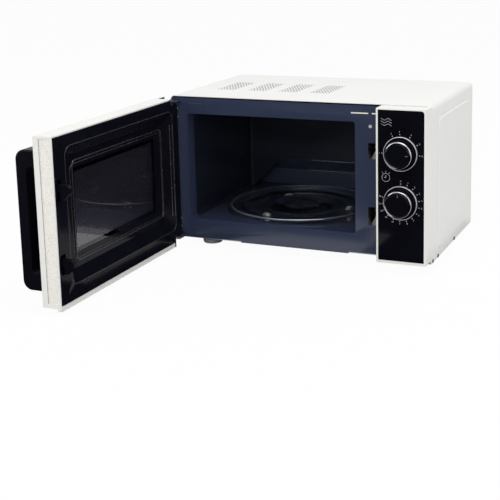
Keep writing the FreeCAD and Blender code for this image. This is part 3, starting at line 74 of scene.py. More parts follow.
LAMPS = (
    # name, place, point that it faces, width and height, power in watts
    ("key_light", (0.55, -0.55, 2.1), (0.0, -0.1, 0.1), (1.9, 1.5), 23.0),
    ("side_light", (2.2, -0.9, 1.0), (0.0, -0.1, 0.1), (1.2, 1.2), 5.0),
    ("left_light", (-1.9, -1.5, 1.3), (-0.1, -0.2, 0.1), (1.1, 1.1), 9.0),
    ("front_light", (0.0, -2.7, 1.15), (0.0, 0.0, 0.06), (3.2, 0.16), 16.0),
)

CARDS = (
    # name, width and depth, place, tilt in degrees
    ("floor_card", (2.4, 1.6), (0.0, -1.17, 0.002), 0.0),
    ("panel_card", (0.64, 0.20), (0.425, -0.29, 0.0015), 0.0),
    ("door_card", (0.25, 0.62), (-0.275, -0.445, 0.0015), 0.0),
    ("left_card", (0.46, 0.60), (-0.63, -0.10, 0.0015), 0.0),
    ("under_card", (0.48, 0.29), (0.0, 0.015, 0.0015), 0.0),
    ("front_card", (4.4, 1.4), (0.0, -2.4, 0.70), 90.0),
)


# ------------------------------------------------------------------ settings
class OvenColours(bpy.types.PropertyGroup):
    """Colours of the oven's finishes."""

    cover_white: FloatVectorProperty(
        name="Cover white", description="Powder coat on the cover", subtype="COLOR",
        default=(0.80, 0.795, 0.775), min=0.0, max=1.0)
    plastic_white: FloatVectorProperty(
        name="Plastic white", description="Moulded frames of the door and the control panel",
        subtype="COLOR", default=(0.79, 0.78, 0.755), min=0.0, max=1.0)
    slate: FloatVectorProperty(
        name="Slate", description="Enamel on the front plate", subtype="COLOR",
        default=(0.028, 0.037, 0.072), min=0.0, max=1.0)
    cavity_slate: FloatVectorProperty(
        name="Cavity slate", description="Enamel inside the oven", subtype="COLOR",
        default=(0.012, 0.0145, 0.026), min=0.0, max=1.0)
    gloss_black: FloatVectorProperty(
        name="Gloss black", description="Door cover, fascia, knobs and handle", subtype="COLOR",
        default=(0.0034, 0.0034, 0.0062), min=0.0, max=1.0)
    print_white: FloatVectorProperty(
        name="Print white", description="Marks printed on the fascia", subtype="COLOR",
        default=(0.62, 0.62, 0.65), min=0.0, max=1.0)
    zinc: FloatVectorProperty(
        name="Zinc", description="Galvanised sheet of the rear panel and the base", subtype="COLOR",
        default=(0.52, 0.53, 0.55), min=0.0, max=1.0)
    wheel_white: FloatVectorProperty(
        name="Wheel white", description="Rollers under the tray", subtype="COLOR",
        default=(0.66, 0.65, 0.62), min=0.0, max=1.0)


class CabinetSizes(bpy.types.PropertyGroup):
    """Sizes of the cabinet's finer shapes."""

    plate_edge: FloatProperty(
        name="Plate edge", description="Rounding of the enamelled sheet's edges",
        default=0.0003, min=0.0, unit="LENGTH", precision=5)
    mouth_edge: FloatProperty(
        name="Mouth edge", description="Rounding of the plate round the oven's mouth",
        default=0.0018, min=0.0, unit="LENGTH", precision=5)
    # the folds are beads that show painted highlights
    fold_radius: FloatProperty(
        name="Fold radius", description="Radius of the rolled folds in the back wall",
        default=0.0009, min=0.0, unit="LENGTH", precision=5)
    foot_radius: FloatProperty(
        name="Foot radius", description="Radius of a foot at its top",
        default=0.018, min=0.0, unit="LENGTH", precision=4)
    foot_flare: FloatProperty(
        name="Foot flare", description="How much wider a foot is at its top",
        default=0.002, min=0.0, unit="LENGTH", precision=5)
    foot_groove: FloatProperty(
        name="Foot groove", description="Depth of the grooves round a foot",
        default=0.0008, min=0.0, unit="LENGTH", precision=5)


class PanelSizes(bpy.types.PropertyGroup):
    """Sizes of the control panel, its knobs and its printed scales."""

    frame_edge: FloatProperty(
        name="Frame edge", description="Rounding of the panel frame's edges",
        default=0.0009, min=0.0, unit="LENGTH", precision=5)
    grip_radius: FloatProperty(
        name="Grip radius", description="Radius of a knob's grip",
        default=0.0215, min=0.0, unit="LENGTH", precision=4)
    pointer_length: FloatProperty(
        name="Pointer length", description="Length of the white mark on a knob",
        default=0.0036, min=0.0, unit="LENGTH", precision=5)
    pointer_width: FloatProperty(
        name="Pointer width", description="Width of the white mark on a knob",
        default=0.0010, min=0.0, unit="LENGTH", precision=5)
    dot_circle: FloatProperty(
        name="Dot circle", description="Radius of the circle on which a scale's dots lie",
        default=0.0290, min=0.0, unit="LENGTH", precision=4)
    dot_radius: FloatProperty(
        name="Dot radius", description="Radius of a scale's dots",
        default=0.00066, min=0.0, unit="LENGTH", precision=5)
    figure_circle: FloatProperty(
        name="Figure circle", description="Radius of the circle on which a scale's figures lie",
        default=0.0330, min=0.0, unit="LENGTH", precision=4)
    figure_height: FloatProperty(
        name="Figure height", description="Height of a scale's figures",
        default=0.0028, min=0.0, unit="LENGTH", precision=5)
    print_thickness: FloatProperty(
        name="Print thickness", description="Thickness of the printed marks",
        default=0.00006, min=0.0, unit="LENGTH", precision=6)


class DoorSizes(bpy.types.PropertyGroup):
    """Sizes of the door's finer shapes."""

    frame_edge: FloatProperty(
        name="Frame edge", description="Rounding of the door frame's edges",
        default=0.0008, min=0.0, unit="LENGTH", precision=5)
    cover_edge: FloatProperty(
        name="Cover edge", description="Rounding of the inner cover's edges",
        default=0.0013, min=0.0, unit="LENGTH", precision=5)
    handle_edge: FloatProperty(
        name="Handle edge", description="Rounding of the handle's edges",
        default=0.0010, min=0.0, unit="LENGTH", precision=5)
    screen_border: FloatProperty(
        name="Screen border", description="Plain border round the screen's holes",
        default=0.006, min=0.0, unit="LENGTH", precision=4)
    screen_pitch: FloatProperty(
        name="Screen pitch", description="Distance between the screen's holes",
        default=0.0026, min=0.001, unit="LENGTH", precision=5)
    screen_hole: FloatProperty(
        name="Screen hole", description="Width of one hole in the screen",
        default=0.0017, min=0.0005, unit="LENGTH", precision=5)


class TurntableSizes(bpy.types.PropertyGroup):
    """Sizes of the tray and the parts that carry it."""

    steps: IntProperty(
        name="Steps", description="Sides of the turned shapes", default=128, min=24, max=256)
    ridge_height: FloatProperty(
        name="Ridge height", description="Height of the rings moulded in the tray",
        default=0.0004, min=0.0, unit="LENGTH", precision=5)


class StudioSettings(bpy.types.PropertyGroup):
    """Light, floor and camera."""

    daylight: FloatProperty(
        name="Daylight", description="Strength of the light from all round", default=0.54, min=0.0)
    floor_size: FloatProperty(
        name="Floor size", description="Side of the floor", default=12.0, min=1.0, unit="LENGTH")
    floor_white: FloatProperty(
        name="Floor white", description="How far the floor looks white where no shadow falls",
        default=0.96, min=0.0, max=1.0, subtype="FACTOR")
    camera_place: FloatVectorProperty(
        name="Camera place", description="Where the camera stands", subtype="TRANSLATION",
        default=(0.6396, -1.7180, 0.5219), unit="LENGTH")
    camera_yaw: FloatProperty(
        name="Camera yaw", description="Turn of the camera to its left", default=0.4140, unit="ROTATION")
    camera_pitch: FloatProperty(
        name="Camera pitch", description="Tilt of the camera downwards", default=0.1960, unit="ROTATION")
    camera_roll: FloatProperty(
        name="Camera roll", description="Roll of the camera", default=-0.0240, unit="ROTATION")
    lens: FloatProperty(
        name="Lens", description="Focal length in millimetres", default=79.46, min=1.0)
    camera_shift: FloatVectorProperty(
        name="Camera shift", description="Shift of the frame, as a share of its width", size=2,
        default=(-0.0256, -0.2072))


# ------------------------------------------------------------------ finishes
def scaled(colour, factor):
    """A colour made darker or lighter, kept within white."""
    return [min(1.0, part * factor) for part in colour]


class Finish:
    """A node material round one Principled shader, with patterns on object coordinates."""

    def __init__(self, name, colour, roughness, **sockets):
        """The sockets are the shader's own, in small letters with underscores."""
        self.material = bpy.data.materials.new(name)
        self.material.use_nodes = True
        self.tree = self.material.node_tree
        self.tree.nodes.clear()
        self.colour = tuple(colour)
        self.roughness = roughness
        output = self.node("ShaderNodeOutputMaterial")
        self.shader = self.node("ShaderNodeBsdfPrincipled")
        self.link(self.shader.outputs["BSDF"], output.inputs["Surface"])
        self.shader.inputs["Base Color"].default_value = (*self.colour, 1.0)
        self.shader.inputs["Roughness"].default_value = roughness
        for socket, value in sockets.items():
            title = socket.replace("_", " ").title().replace("Ior", "IOR")
            self.shader.inputs[title].default_value = value
        self.place = self.node("ShaderNodeTexCoord").outputs["Object"]
        self.normal = None

    def node(self, kind):
        """A new node of this kind."""
        return self.tree.nodes.new(kind)

    def link(self, start, end):
        """Joins an output to an input."""
        self.tree.links.new(start, end)

    def noise(self, size, detail=3.0, stretch=(1.0, 1.0, 1.0)):
        """Cloudy pattern whose patches are about size across."""
        mapping = self.node("ShaderNodeMapping")
        mapping.inputs["Scale"].default_value = stretch
        self.link(self.place, mapping.inputs["Vector"])
        texture = self.node("ShaderNodeTexNoise")
        texture.inputs["Scale"].default_value = 1.0 / size
        texture.inputs["Detail"].default_value = detail
        self.link(mapping.outputs["Vector"], texture.inputs["Vector"])
        return texture.outputs["Fac"]

    def cells(self, size, feature="F1"):
        """Cell pattern, each cell about size across."""
        texture = self.node("ShaderNodeTexVoronoi")
        texture.feature = feature
        texture.inputs["Scale"].default_value = 1.0 / size
        self.link(self.place, texture.inputs["Vector"])
        return texture.outputs["Distance"]

    def tint(self, pattern, dark, light, start=0.3, end=0.7):
        """Lets the colour drift from dark to light as the pattern goes from start to end."""
        ramp = self.node("ShaderNodeValToRGB")
        for stop, position, factor in zip(ramp.color_ramp.elements, (start, end), (dark, light)):
            stop.position = position
            stop.color = (*scaled(self.colour, factor), 1.0)
        self.link(pattern, ramp.inputs["Fac"])
        self.link(ramp.outputs["Color"], self.shader.inputs["Base Color"])
        return self

    def gloss(self, pattern, spread):
        """Lets the roughness drift with a pattern, by this share of itself."""
        drift = self.node("ShaderNodeMapRange")
        for socket, value in (("From Min", 0.3), ("From Max", 0.7),
                              ("To Min", max(0.0, self.roughness * (1.0 - spread))),
                              ("To Max", min(1.0, self.roughness * (1.0 + spread)))):
            drift.inputs[socket].default_value = value
        self.link(pattern, drift.inputs["Value"])
        self.link(drift.outputs["Result"], self.shader.inputs["Roughness"])
        return self

    def bump(self, pattern, height, strength):
        """Raises the surface with a pattern, by height in metres, on top of any bump before it."""
        bump = self.node("ShaderNodeBump")
        bump.inputs["Distance"].default_value = height
        bump.inputs["Strength"].default_value = strength
        self.link(pattern, bump.inputs["Height"])
        if self.normal is not None:
            self.link(self.normal, bump.inputs["Normal"])
        self.normal = bump.outputs["Normal"]
        self.link(self.normal, self.shader.inputs["Normal"])
        return self

    def open_to_lamps(self, red, green, blue):
        """Lets the light of lamps pass straight through the glass, with this tint."""
        path = self.node("ShaderNodeLightPath")
        through = self.node("ShaderNodeBsdfTransparent")
        through.inputs["Color"].default_value = (red, green, blue, 1.0)
        mix = self.node("ShaderNodeMixShader")
        output = self.shader.outputs["BSDF"].links[0].to_node
        self.link(path.outputs["Is Shadow Ray"], mix.inputs["Fac"])
        self.link(self.shader.outputs["BSDF"], mix.inputs[1])
        self.link(through.outputs["BSDF"], mix.inputs[2])
        self.link(mix.outputs["Shader"], output.inputs["Surface"])
        return self

    def fired(self):
        """The speckle and the fine orange peel of fired enamel."""
        self.tint(self.noise(0.0007, detail=2.0), dark=0.86, light=1.15)
        self.gloss(self.noise(0.010), spread=0.12)
        return self.bump(self.noise(0.0012, detail=2.0), height=0.000010, strength=0.4)

    def polished(self):
        """The slow waves of a polished black moulding."""
        self.tint(self.noise(0.03), dark=0.85, light=1.15).gloss(self.noise(0.012), spread=0.3)
        return self.bump(self.noise(0.02, detail=1.0), height=0.00005, strength=0.15)

    def eroded(self):
        """The fine, even grain of a spark-eroded black moulding."""
        self.tint(self.noise(0.01), dark=0.85, light=1.15).gloss(self.noise(0.002), spread=0.2)
        return self.bump(self.noise(0.0007, detail=2.0), height=0.00002, strength=0.5)


finish_makers = {}
finishes = {}


def oven_finish(maker):
    """Lists the maker of a finish under its own name."""
    finish_makers[maker.__name__] = maker
    return maker


def finish(name):
    """The named finish, which is made the first time that it is asked for."""
    if name not in finishes:
        finishes[name] = finish_makers[name](name, bpy.context.scene.oven_colours).material
    return finishes[name]


@oven_finish
def white_paint(name, colours):
    """Painted steel of the cover."""
    made = Finish(name, colours.cover_white, roughness=0.42, specular_ior_level=0.45)
    made.tint(made.noise(0.09), dark=0.985, light=1.01).gloss(made.noise(0.004), spread=0.18)
    return made.bump(made.noise(0.0011, detail=2.0), height=0.00004, strength=0.5)


@oven_finish
def white_plastic(name, colours):
    """Smooth white plastic of the panel's frame and the door's."""
    made = Finish(name, colours.plastic_white, roughness=0.36, specular_ior_level=0.5,
                  subsurface_weight=0.04, subsurface_scale=0.002)
    made.tint(made.noise(0.06), dark=0.985, light=1.01).gloss(made.noise(0.006), spread=0.15)
    return made.bump(made.noise(0.0006, detail=2.0), height=0.00002, strength=0.5)


@oven_finish
def grained_plastic(name, colours):
    """White plastic with the small leather grain that is moulded into the door's edge."""
    warm = [part * factor for part, factor in zip(colours.plastic_white, (1.06, 1.05, 1.01))]
    made = Finish(name, warm, roughness=0.5, specular_ior_level=0.4)
    made.tint(made.cells(0.0030, "DISTANCE_TO_EDGE"), dark=0.78, light=1.04, start=0.0, end=0.14)
    made.gloss(made.noise(0.004), spread=0.2)
    made.bump(made.cells(0.0026, "DISTANCE_TO_EDGE"), height=0.00025, strength=0.8)
    return made.bump(made.noise(0.0009), height=0.00010, strength=0.7)


@oven_finish
def shaded_plastic(name, colours):
    """White plastic darkened as painted shade in the step round the door's grained edge."""
    made = Finish(name, scaled(colours.plastic_white, 0.42), roughness=0.5, specular_ior_level=0.4)
    return made.tint(made.noise(0.004), dark=0.90, light=1.08)


@oven_finish
def slate_enamel(name, colours):
    """Enamel of the front plate and the hinge brackets."""
    made = Finish(name, colours.slate, roughness=0.20, specular_ior_level=0.62)
    made.tint(made.noise(0.0007, detail=2.0), dark=0.88, light=1.14)
    made.gloss(made.noise(0.008), spread=0.12)
    return made.bump(made.noise(0.0009, detail=2.0), height=0.000012, strength=0.4)


@oven_finish
def cavity_enamel(name, colours):
    """Enamel of the oven's walls."""
    return Finish(name, colours.cavity_slate, roughness=0.20, specular_ior_level=0.5).fired()


@oven_finish
def worn_enamel(name, colours):
    """A paler copy of the oven's enamel on its floor and in the foot of its back wall, as painted light."""
    pale = scaled(colours.cavity_slate, 3.0)
    return Finish(name, pale, roughness=0.24, specular_ior_level=0.5).fired()


@oven_finish
def enamel_edge(name, colours):
    """Paler, metallic enamel: a painted highlight on the rounded edge of the oven's mouth, and a painted
    shade on the cover's left front tabs.
    """
    made = Finish(name, (0.105, 0.125, 0.180), roughness=0.24, metallic=0.6)
    return made.tint(made.noise(0.01), dark=0.88, light=1.12).gloss(made.noise(0.006), spread=0.2)


@oven_finish
def sheen_edge(name, colours):
    """Metallic finish on rounded glass and enamel edges, as painted highlights."""
    made = Finish(name, (0.40, 0.43, 0.47), roughness=0.16, metallic=0.75)
    return made.tint(made.noise(0.02), dark=0.9, light=1.08).gloss(made.noise(0.006), spread=0.2)


@oven_finish
def gloss_black(name, colours):
    """Polished black of the fascia and the knobs' grips."""
    return Finish(name, colours.gloss_black, roughness=0.09, specular_ior_level=0.20).polished()


@oven_finish
def moulded_black(name, colours):
    """Polished black of the door's inner cover."""
    black = scaled(colours.gloss_black, 1.3)
    return Finish(name, black, roughness=0.13, specular_ior_level=0.07).polished()


@oven_finish
def soft_black(name, colours):
    """Fine-grained black of the handle and the hooks, and of the painted shadow strip under the cover's edge.
    """
    return Finish(name, colours.gloss_black, roughness=0.34, specular_ior_level=0.06).eroded()


@oven_finish
def satin_black(name, colours):
    """Fine-grained black of the door's panel and the cord gland."""
    black = scaled(colours.gloss_black, 2.2)
    return Finish(name, black, roughness=0.28, specular_ior_level=0.42).eroded()


@oven_finish
def sheen_black(name, colours):
    """Metallic black on edges and beads, as painted highlight lines."""
    made = Finish(name, (0.085, 0.085, 0.097), roughness=0.24, metallic=0.75)
    return made.tint(made.noise(0.02), dark=0.85, light=1.12).gloss(made.noise(0.006), spread=0.2)


@oven_finish
def printed_white(name, colours):
    """Print of the dials' scales."""
    made = Finish(name, colours.print_white, roughness=0.5, specular_ior_level=0.3)
    return made.tint(made.noise(0.002), dark=0.92, light=1.05)


@oven_finish
def printed_grey(name, colours):
    """Print of the knobs' pointers."""
    made = Finish(name, scaled(colours.print_white, 0.27), roughness=0.5, specular_ior_level=0.3)
    return made.tint(made.noise(0.002), dark=0.92, light=1.05)


@oven_finish
def clear_film(name, colours):
    """Clear film over the door's window."""
    made = Finish(name, (0.80, 0.79, 0.86), roughness=0.04, transmission_weight=1.0, ior=1.45)
    return made.gloss(made.noise(0.01), spread=0.3).open_to_lamps(0.82, 0.81, 0.88)


@oven_finish
def smoked_glass(name, colours):
    """The part of the door's outer glass that can be seen through."""
    made = Finish(name, (0.018, 0.018, 0.022), roughness=0.03, transmission_weight=1.0, ior=1.5)
    return made.gloss(made.noise(0.02), spread=0.3).open_to_lamps(0.02, 0.02, 0.024)


@oven_finish
def black_glass(name, colours):
    """Black border of the door's outer glass."""
    made = Finish(name, (0.004, 0.004, 0.005), roughness=0.035, specular_ior_level=0.5)
    return made.tint(made.noise(0.04), dark=0.9, light=1.1).gloss(made.noise(0.02), spread=0.3)


@oven_finish
def tray_glass(name, colours):
    """Clear glass of the tray."""
    clear = (0.93, 0.96, 0.955)
    made = Finish(name, clear, roughness=0.03, transmission_weight=1.0, ior=1.50)
    made.gloss(made.noise(0.02), spread=0.4)
    made.bump(made.noise(0.012, detail=1.0), height=0.00005, strength=0.1)
    return made.open_to_lamps(*clear)


@oven_finish
def satin_chrome(name, colours):
    """Chrome of the knobs' base rings and the plate's rivets."""
    made = Finish(name, (0.82, 0.83, 0.85), roughness=0.34, metallic=0.55)
    return made.tint(made.noise(0.01), dark=0.95, light=1.04).gloss(made.noise(0.003), spread=0.25)


@oven_finish
def dark_chrome(name, colours):
    """Chrome of the knobs' face rings and the panel's screws."""
    made = Finish(name, (0.42, 0.42, 0.44), roughness=0.07, metallic=1.0)
    return made.tint(made.noise(0.01), dark=0.92, light=1.05).gloss(made.noise(0.003), spread=0.3)


@oven_finish
def bright_steel(name, colours):
    """Plated steel of small screws, the spring and the turntable's motor."""
    made = Finish(name, (0.58, 0.58, 0.57), roughness=0.26, metallic=1.0)
    made.tint(made.noise(0.003), dark=0.85, light=1.08).gloss(made.noise(0.0015), spread=0.3)
    return made.bump(made.noise(0.0006, detail=2.0), height=0.00003, strength=0.4)


@oven_finish
def cut_steel(name, colours):
    """Bare edges of the holes punched in the painted cover, darker also as painted shade inside the holes."""
    made = Finish(name, (0.36, 0.365, 0.37), roughness=0.5, metallic=0.2)
    return made.tint(made.noise(0.001), dark=0.85, light=1.1)


@oven_finish
def screen_steel(name, colours):
    """Blackened steel of the door's screen."""
    made = Finish(name, (0.0125, 0.0120, 0.0160), roughness=0.4, specular_ior_level=0.5)
    return made.tint(made.noise(0.02), dark=0.85, light=1.15).gloss(made.noise(0.004), spread=0.2)


@oven_finish
def zinc_sheet(name, colours):
    """Galvanised sheet with its spangle."""
    made = Finish(name, colours.zinc, roughness=0.42, metallic=0.85)
    made.tint(made.cells(0.011), dark=0.90, light=1.05, start=0.0, end=0.8)
    made.gloss(made.cells(0.011), spread=0.10)
    return made.bump(made.noise(0.0015, detail=2.0), height=0.00003, strength=0.4)


@oven_finish
def motor_steel(name, colours):
    """Stacked laminations."""
    made = Finish(name, (0.28, 0.28, 0.29), roughness=0.42, metallic=0.9)
    layers = made.noise(0.0007, detail=1.0, stretch=(0.1, 0.1, 1.0))
    return made.tint(layers, dark=0.72, light=1.15).bump(layers, height=0.00012, strength=0.7)


@oven_finish
def brushed_aluminium(name, colours):
    """Brushed metal of the magnetron's anode and the capacitor's can."""
    made = Finish(name, (0.62, 0.63, 0.64), roughness=0.32, metallic=1.0)
    brushing = made.noise(0.0012, detail=2.0, stretch=(1.0, 1.0, 0.08))
    return made.tint(brushing, dark=0.88, light=1.06).bump(brushing, height=0.00004, strength=0.5)


@oven_finish
def enamelled_copper(name, colours):
    """Wire lying side by side, varnished."""
    made = Finish(name, (0.48, 0.17, 0.07), roughness=0.3, metallic=0.9)
    wires = made.noise(0.0009, detail=2.0, stretch=(0.2, 0.2, 1.0))
    return made.tint(wires, dark=0.7, light=1.15).bump(wires, height=0.0003, strength=0.7)


@oven_finish
def rubber(name, colours):
    """Grey rubber of the feet."""
    made = Finish(name, (0.34, 0.34, 0.39), roughness=0.62, specular_ior_level=0.35)
    made.tint(made.noise(0.004), dark=0.8, light=1.25).gloss(made.noise(0.002), spread=0.12)
    return made.bump(made.noise(0.0006, detail=2.0), height=0.00006, strength=0.6)


@oven_finish
def grey_plastic(name, colours):
    """Grey plastic of the spacers and of parts inside the cabinet."""
    made = Finish(name, (0.14, 0.145, 0.15), roughness=0.45, specular_ior_level=0.45)
    made.tint(made.noise(0.008), dark=0.9, light=1.08).gloss(made.noise(0.003), spread=0.15)
    return made.bump(made.noise(0.0006, detail=2.0), height=0.00003, strength=0.5)


@oven_finish
def pale_plastic(name, colours):
    """Pale plastic of the wheels, the shafts, the buttons and the latch bracket."""
    made = Finish(name, colours.wheel_white, roughness=0.42, specular_ior_level=0.45,
                  subsurface_weight=0.05, subsurface_scale=0.002)
    made.tint(made.noise(0.01), dark=0.95, light=1.03).gloss(made.noise(0.003), spread=0.15)
    return made.bump(made.noise(0.0008, detail=2.0), height=0.00003, strength=0.5)


@oven_finish
def smoky_plastic(name, colours):
    """Dark plastic of the roller ring and the coupler, a little cloudy, and the painted shade on the catch
    bracket.
    """
    made = Finish(name, (0.020, 0.021, 0.024), roughness=0.24, specular_ior_level=0.5)
    made.tint(made.noise(0.008), dark=0.85, light=1.15)
    return made.bump(made.noise(0.0008, detail=2.0), height=0.00002, strength=0.4)


@oven_finish
def mica(name, colours):
    """Pressed mica flakes."""
    made = Finish(name, (0.36, 0.33, 0.27), roughness=0.34, specular_ior_level=0.6)
    made.tint(made.cells(0.003), dark=0.72, light=1.18, start=0.0, end=0.7)
    made.gloss(made.cells(0.003), spread=0.3)
    return made.bump(made.noise(0.002, detail=4.0), height=0.00008, strength=0.5)


@oven_finish
def circuit_board(name, colours):
    """Brown board of the mains filter."""
    made = Finish(name, (0.17, 0.12, 0.05), roughness=0.5, specular_ior_level=0.5)
    made.tint(made.cells(0.006), dark=0.75, light=1.2, start=0.0, end=0.8)
    return made.bump(made.noise(0.001, detail=2.0), height=0.00005, strength=0.6)


@oven_finish
def ceramic(name, colours):
    """Ceramic of the thermal cutout."""
    made = Finish(name, (0.60, 0.56, 0.50), roughness=0.30, specular_ior_level=0.55)
    made.tint(made.noise(0.004), dark=0.92, light=1.05)
    return made.bump(made.noise(0.001, detail=2.0), height=0.00004, strength=0.4)


# ------------------------------------------------------------------- shaping
def place_piece(name, shape, body, coats, stands_for=(), smooth=32.0):
    """Turns a bmesh into a piece that rides on a body, sharp where it turns by more than smooth degrees."""
    mesh = bpy.data.meshes.new(name)
    shape.normal_update()
    shape.to_mesh(mesh)
    shape.free()
    held = mesh.attributes.get("custom_normal")
    if held is not None:
        mesh.attributes.remove(held)
    mesh.polygons.foreach_set("use_smooth", [True] * len(mesh.polygons))
    mesh.set_sharp_from_angle(angle=math.radians(smooth))
    for coat in [coats] if isinstance(coats, str) else coats:
        mesh.materials.append(finish(coat))
    piece = bpy.data.objects.new(name, mesh)
    bpy.context.scene.collection.objects.link(piece)
    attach(piece, body)
    if stands_for:
        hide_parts(*stands_for)
    return piece


def ease_edges(piece, width, segments=2):
    """Small rounding on every sharp edge."""
    rounding = piece.modifiers.new("Eased edges", "BEVEL")
    rounding.width = width
    rounding.segments = segments
    rounding.limit_method = "ANGLE"
    rounding.angle_limit = math.radians(32.0)
    rounding.harden_normals = True


def copy_of(node):
    """A merged copy of a CAD node's mesh, with its flat faces joined."""
    shape = bmesh.new()
    shape.from_mesh(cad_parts[node].data)
    bmesh.ops.remove_doubles(shape, verts=shape.verts, dist=0.000002)
    bmesh.ops.dissolve_limit(shape, angle_limit=math.radians(0.4), verts=shape.verts, edges=shape.edges)
    return shape


def eased_copy(name, node, body, coat, width, segments=2, smooth=32.0):
    """A copy of a CAD node as a piece, with its edges eased by width."""
    ease_edges(place_piece(name, copy_of(node), body, coat, (node,), smooth), width, segments)


def coat_node(node, coat):
    """Gives a CAD node that stays in view its finish."""
    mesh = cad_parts[node].data
    mesh.materials.clear()
    mesh.materials.append(finish(coat))


def middle_of(node):
    """Centre of a CAD node's box."""
    low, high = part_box(node)
    return (low + high) / 2


def moved(shape, matrix):
    """The same bmesh, moved by a matrix."""
    bmesh.ops.transform(shape, matrix=matrix, verts=shape.verts)
    return shape


def gathered(shapes):
    """One bmesh that holds all of these shapes."""
    whole = bmesh.new()
    for shape in shapes:
        part = bpy.data.meshes.new("part")
        shape.to_mesh(part)
        shape.free()
        whole.from_mesh(part)
        bpy.data.meshes.remove(part)
    return whole


def block(size, place):
    """A solid bar of this size, centred on place."""
    shape = bmesh.new()
    bmesh.ops.create_cube(shape, size=1.0, matrix=Matrix.Translation(place) @ Matrix.Diagonal((*size, 1.0)))
    return shape


def rod(radius, length, sides):
    """A round bar along Z, centred on the origin."""
    shape = bmesh.new()
    bmesh.ops.create_cone(shape, cap_ends=True, segments=sides, radius1=radius, radius2=radius, depth=length)
    return shape


def sheet(width, depth, columns=1, rows=1):
    """A flat grid round the origin, facing +Z."""
    shape = bmesh.new()
    bmesh.ops.create_grid(shape, x_segments=columns, y_segments=rows, size=0.5,
                          matrix=Matrix.Diagonal((width, depth, 1.0, 1.0)))
    return shape


def turned(profile, steps=96, closed=True):
    """Shape turned round the Z axis from an outline of (radius, height) points."""
    shape = bmesh.new()
    points = [shape.verts.new((radius, 0.0, height)) for radius, height in profile]
    pairs = list(zip(points, points[1:])) + ([(points[-1], points[0])] if closed else [])
    edges = [shape.edges.new(pair) for pair in pairs]
    bmesh.ops.spin(shape, geom=points + edges, axis=(0, 0, 1), cent=(0, 0, 0), dvec=(0, 0, 0),
                   angle=math.tau, steps=steps, use_merge=True, use_normal_flip=False, use_duplicate=False)
    bmesh.ops.remove_doubles(shape, verts=shape.verts, dist=0.0000005)
    bmesh.ops.dissolve_degenerate(shape, edges=shape.edges, dist=0.0000005)
    bmesh.ops.recalc_face_normals(shape, faces=shape.faces)
    return shape


def arc(radius_at, height_at, radius, start, end, steps):
    """Points along an arc in a turned outline, angles in degrees."""
    points = []
    for index in range(steps + 1):
        angle = math.radians(start + (end - start) * index / steps)
        points.append((radius_at + radius * math.cos(angle), height_at + radius * math.sin(angle)))
    return points


def rounded_loop(shape, u0, u1, v0, v1, height, radius, segments):
    """Edges of a flat rounded rectangle at a height."""
    corners = [shape.verts.new((u, v, height)) for u, v in ((u0, v0), (u1, v0), (u1, v1), (u0, v1))]
    face = shape.faces.new(corners)
    before = set(shape.edges) - set(face.edges)
    bmesh.ops.bevel(shape, geom=corners, offset=radius, offset_type="OFFSET", segments=segments,
                    profile=0.5, affect="VERTICES", material=-1)
    edges = [edge for edge in shape.edges if edge not in before]
    faces = {face for edge in edges for face in edge.link_faces}
    bmesh.ops.delete(shape, geom=list(faces), context="FACES_ONLY")
    return edges


def bead(loops, segments):
    """Closed ring through rounded rectangles (u0, u1, v0, v1, height, radius), from each to the next."""
    shape = bmesh.new()
    rims = [rounded_loop(shape, *loop, segments) for loop in loops]
    for rim, following in zip(rims, rims[1:] + rims[:1]):
        bmesh.ops.bridge_loops(shape, edges=rim + following)
    bmesh.ops.recalc_face_normals(shape, faces=shape.faces)
    return shape


def cut_across(shape, faces, axis, at):
    """Cuts these faces where they cross a value on the axis (0 for X, 1 for Y, 2 for Z)."""
    around = dict.fromkeys(part for face in faces for part in (*face.edges, *face.verts))
    normal = Vector((0.0, 0.0, 0.0))
    normal[axis] = 1.0
    bmesh.ops.bisect_plane(shape, geom=[*faces, *around], plane_co=normal * at, plane_no=normal,
                           dist=0.000001)


def facing_front(x, y, z):
    """Matrix that stands a shape modelled flat, facing +Z, up to face -Y at a place."""
    return Matrix.Translation((x, y, z)) @ Matrix.Rotation(math.radians(90.0), 4, "X")


def facing_right(x, y=0.0, z=0.0):
    """Matrix that stands a shape modelled flat, facing +Z, up to face +X at a place."""
    return Matrix(((0.0, 0.0, 1.0, x), (1.0, 0.0, 0.0, y), (0.0, 1.0, 0.0, z), (0.0, 0.0, 0.0, 1.0)))


# ----------------------------------------------------------------- the pieces
class OvenOperator(bpy.types.Operator):
    """Shared settings of the operators that build the oven."""

    bl_options = {"REGISTER", "UNDO"}


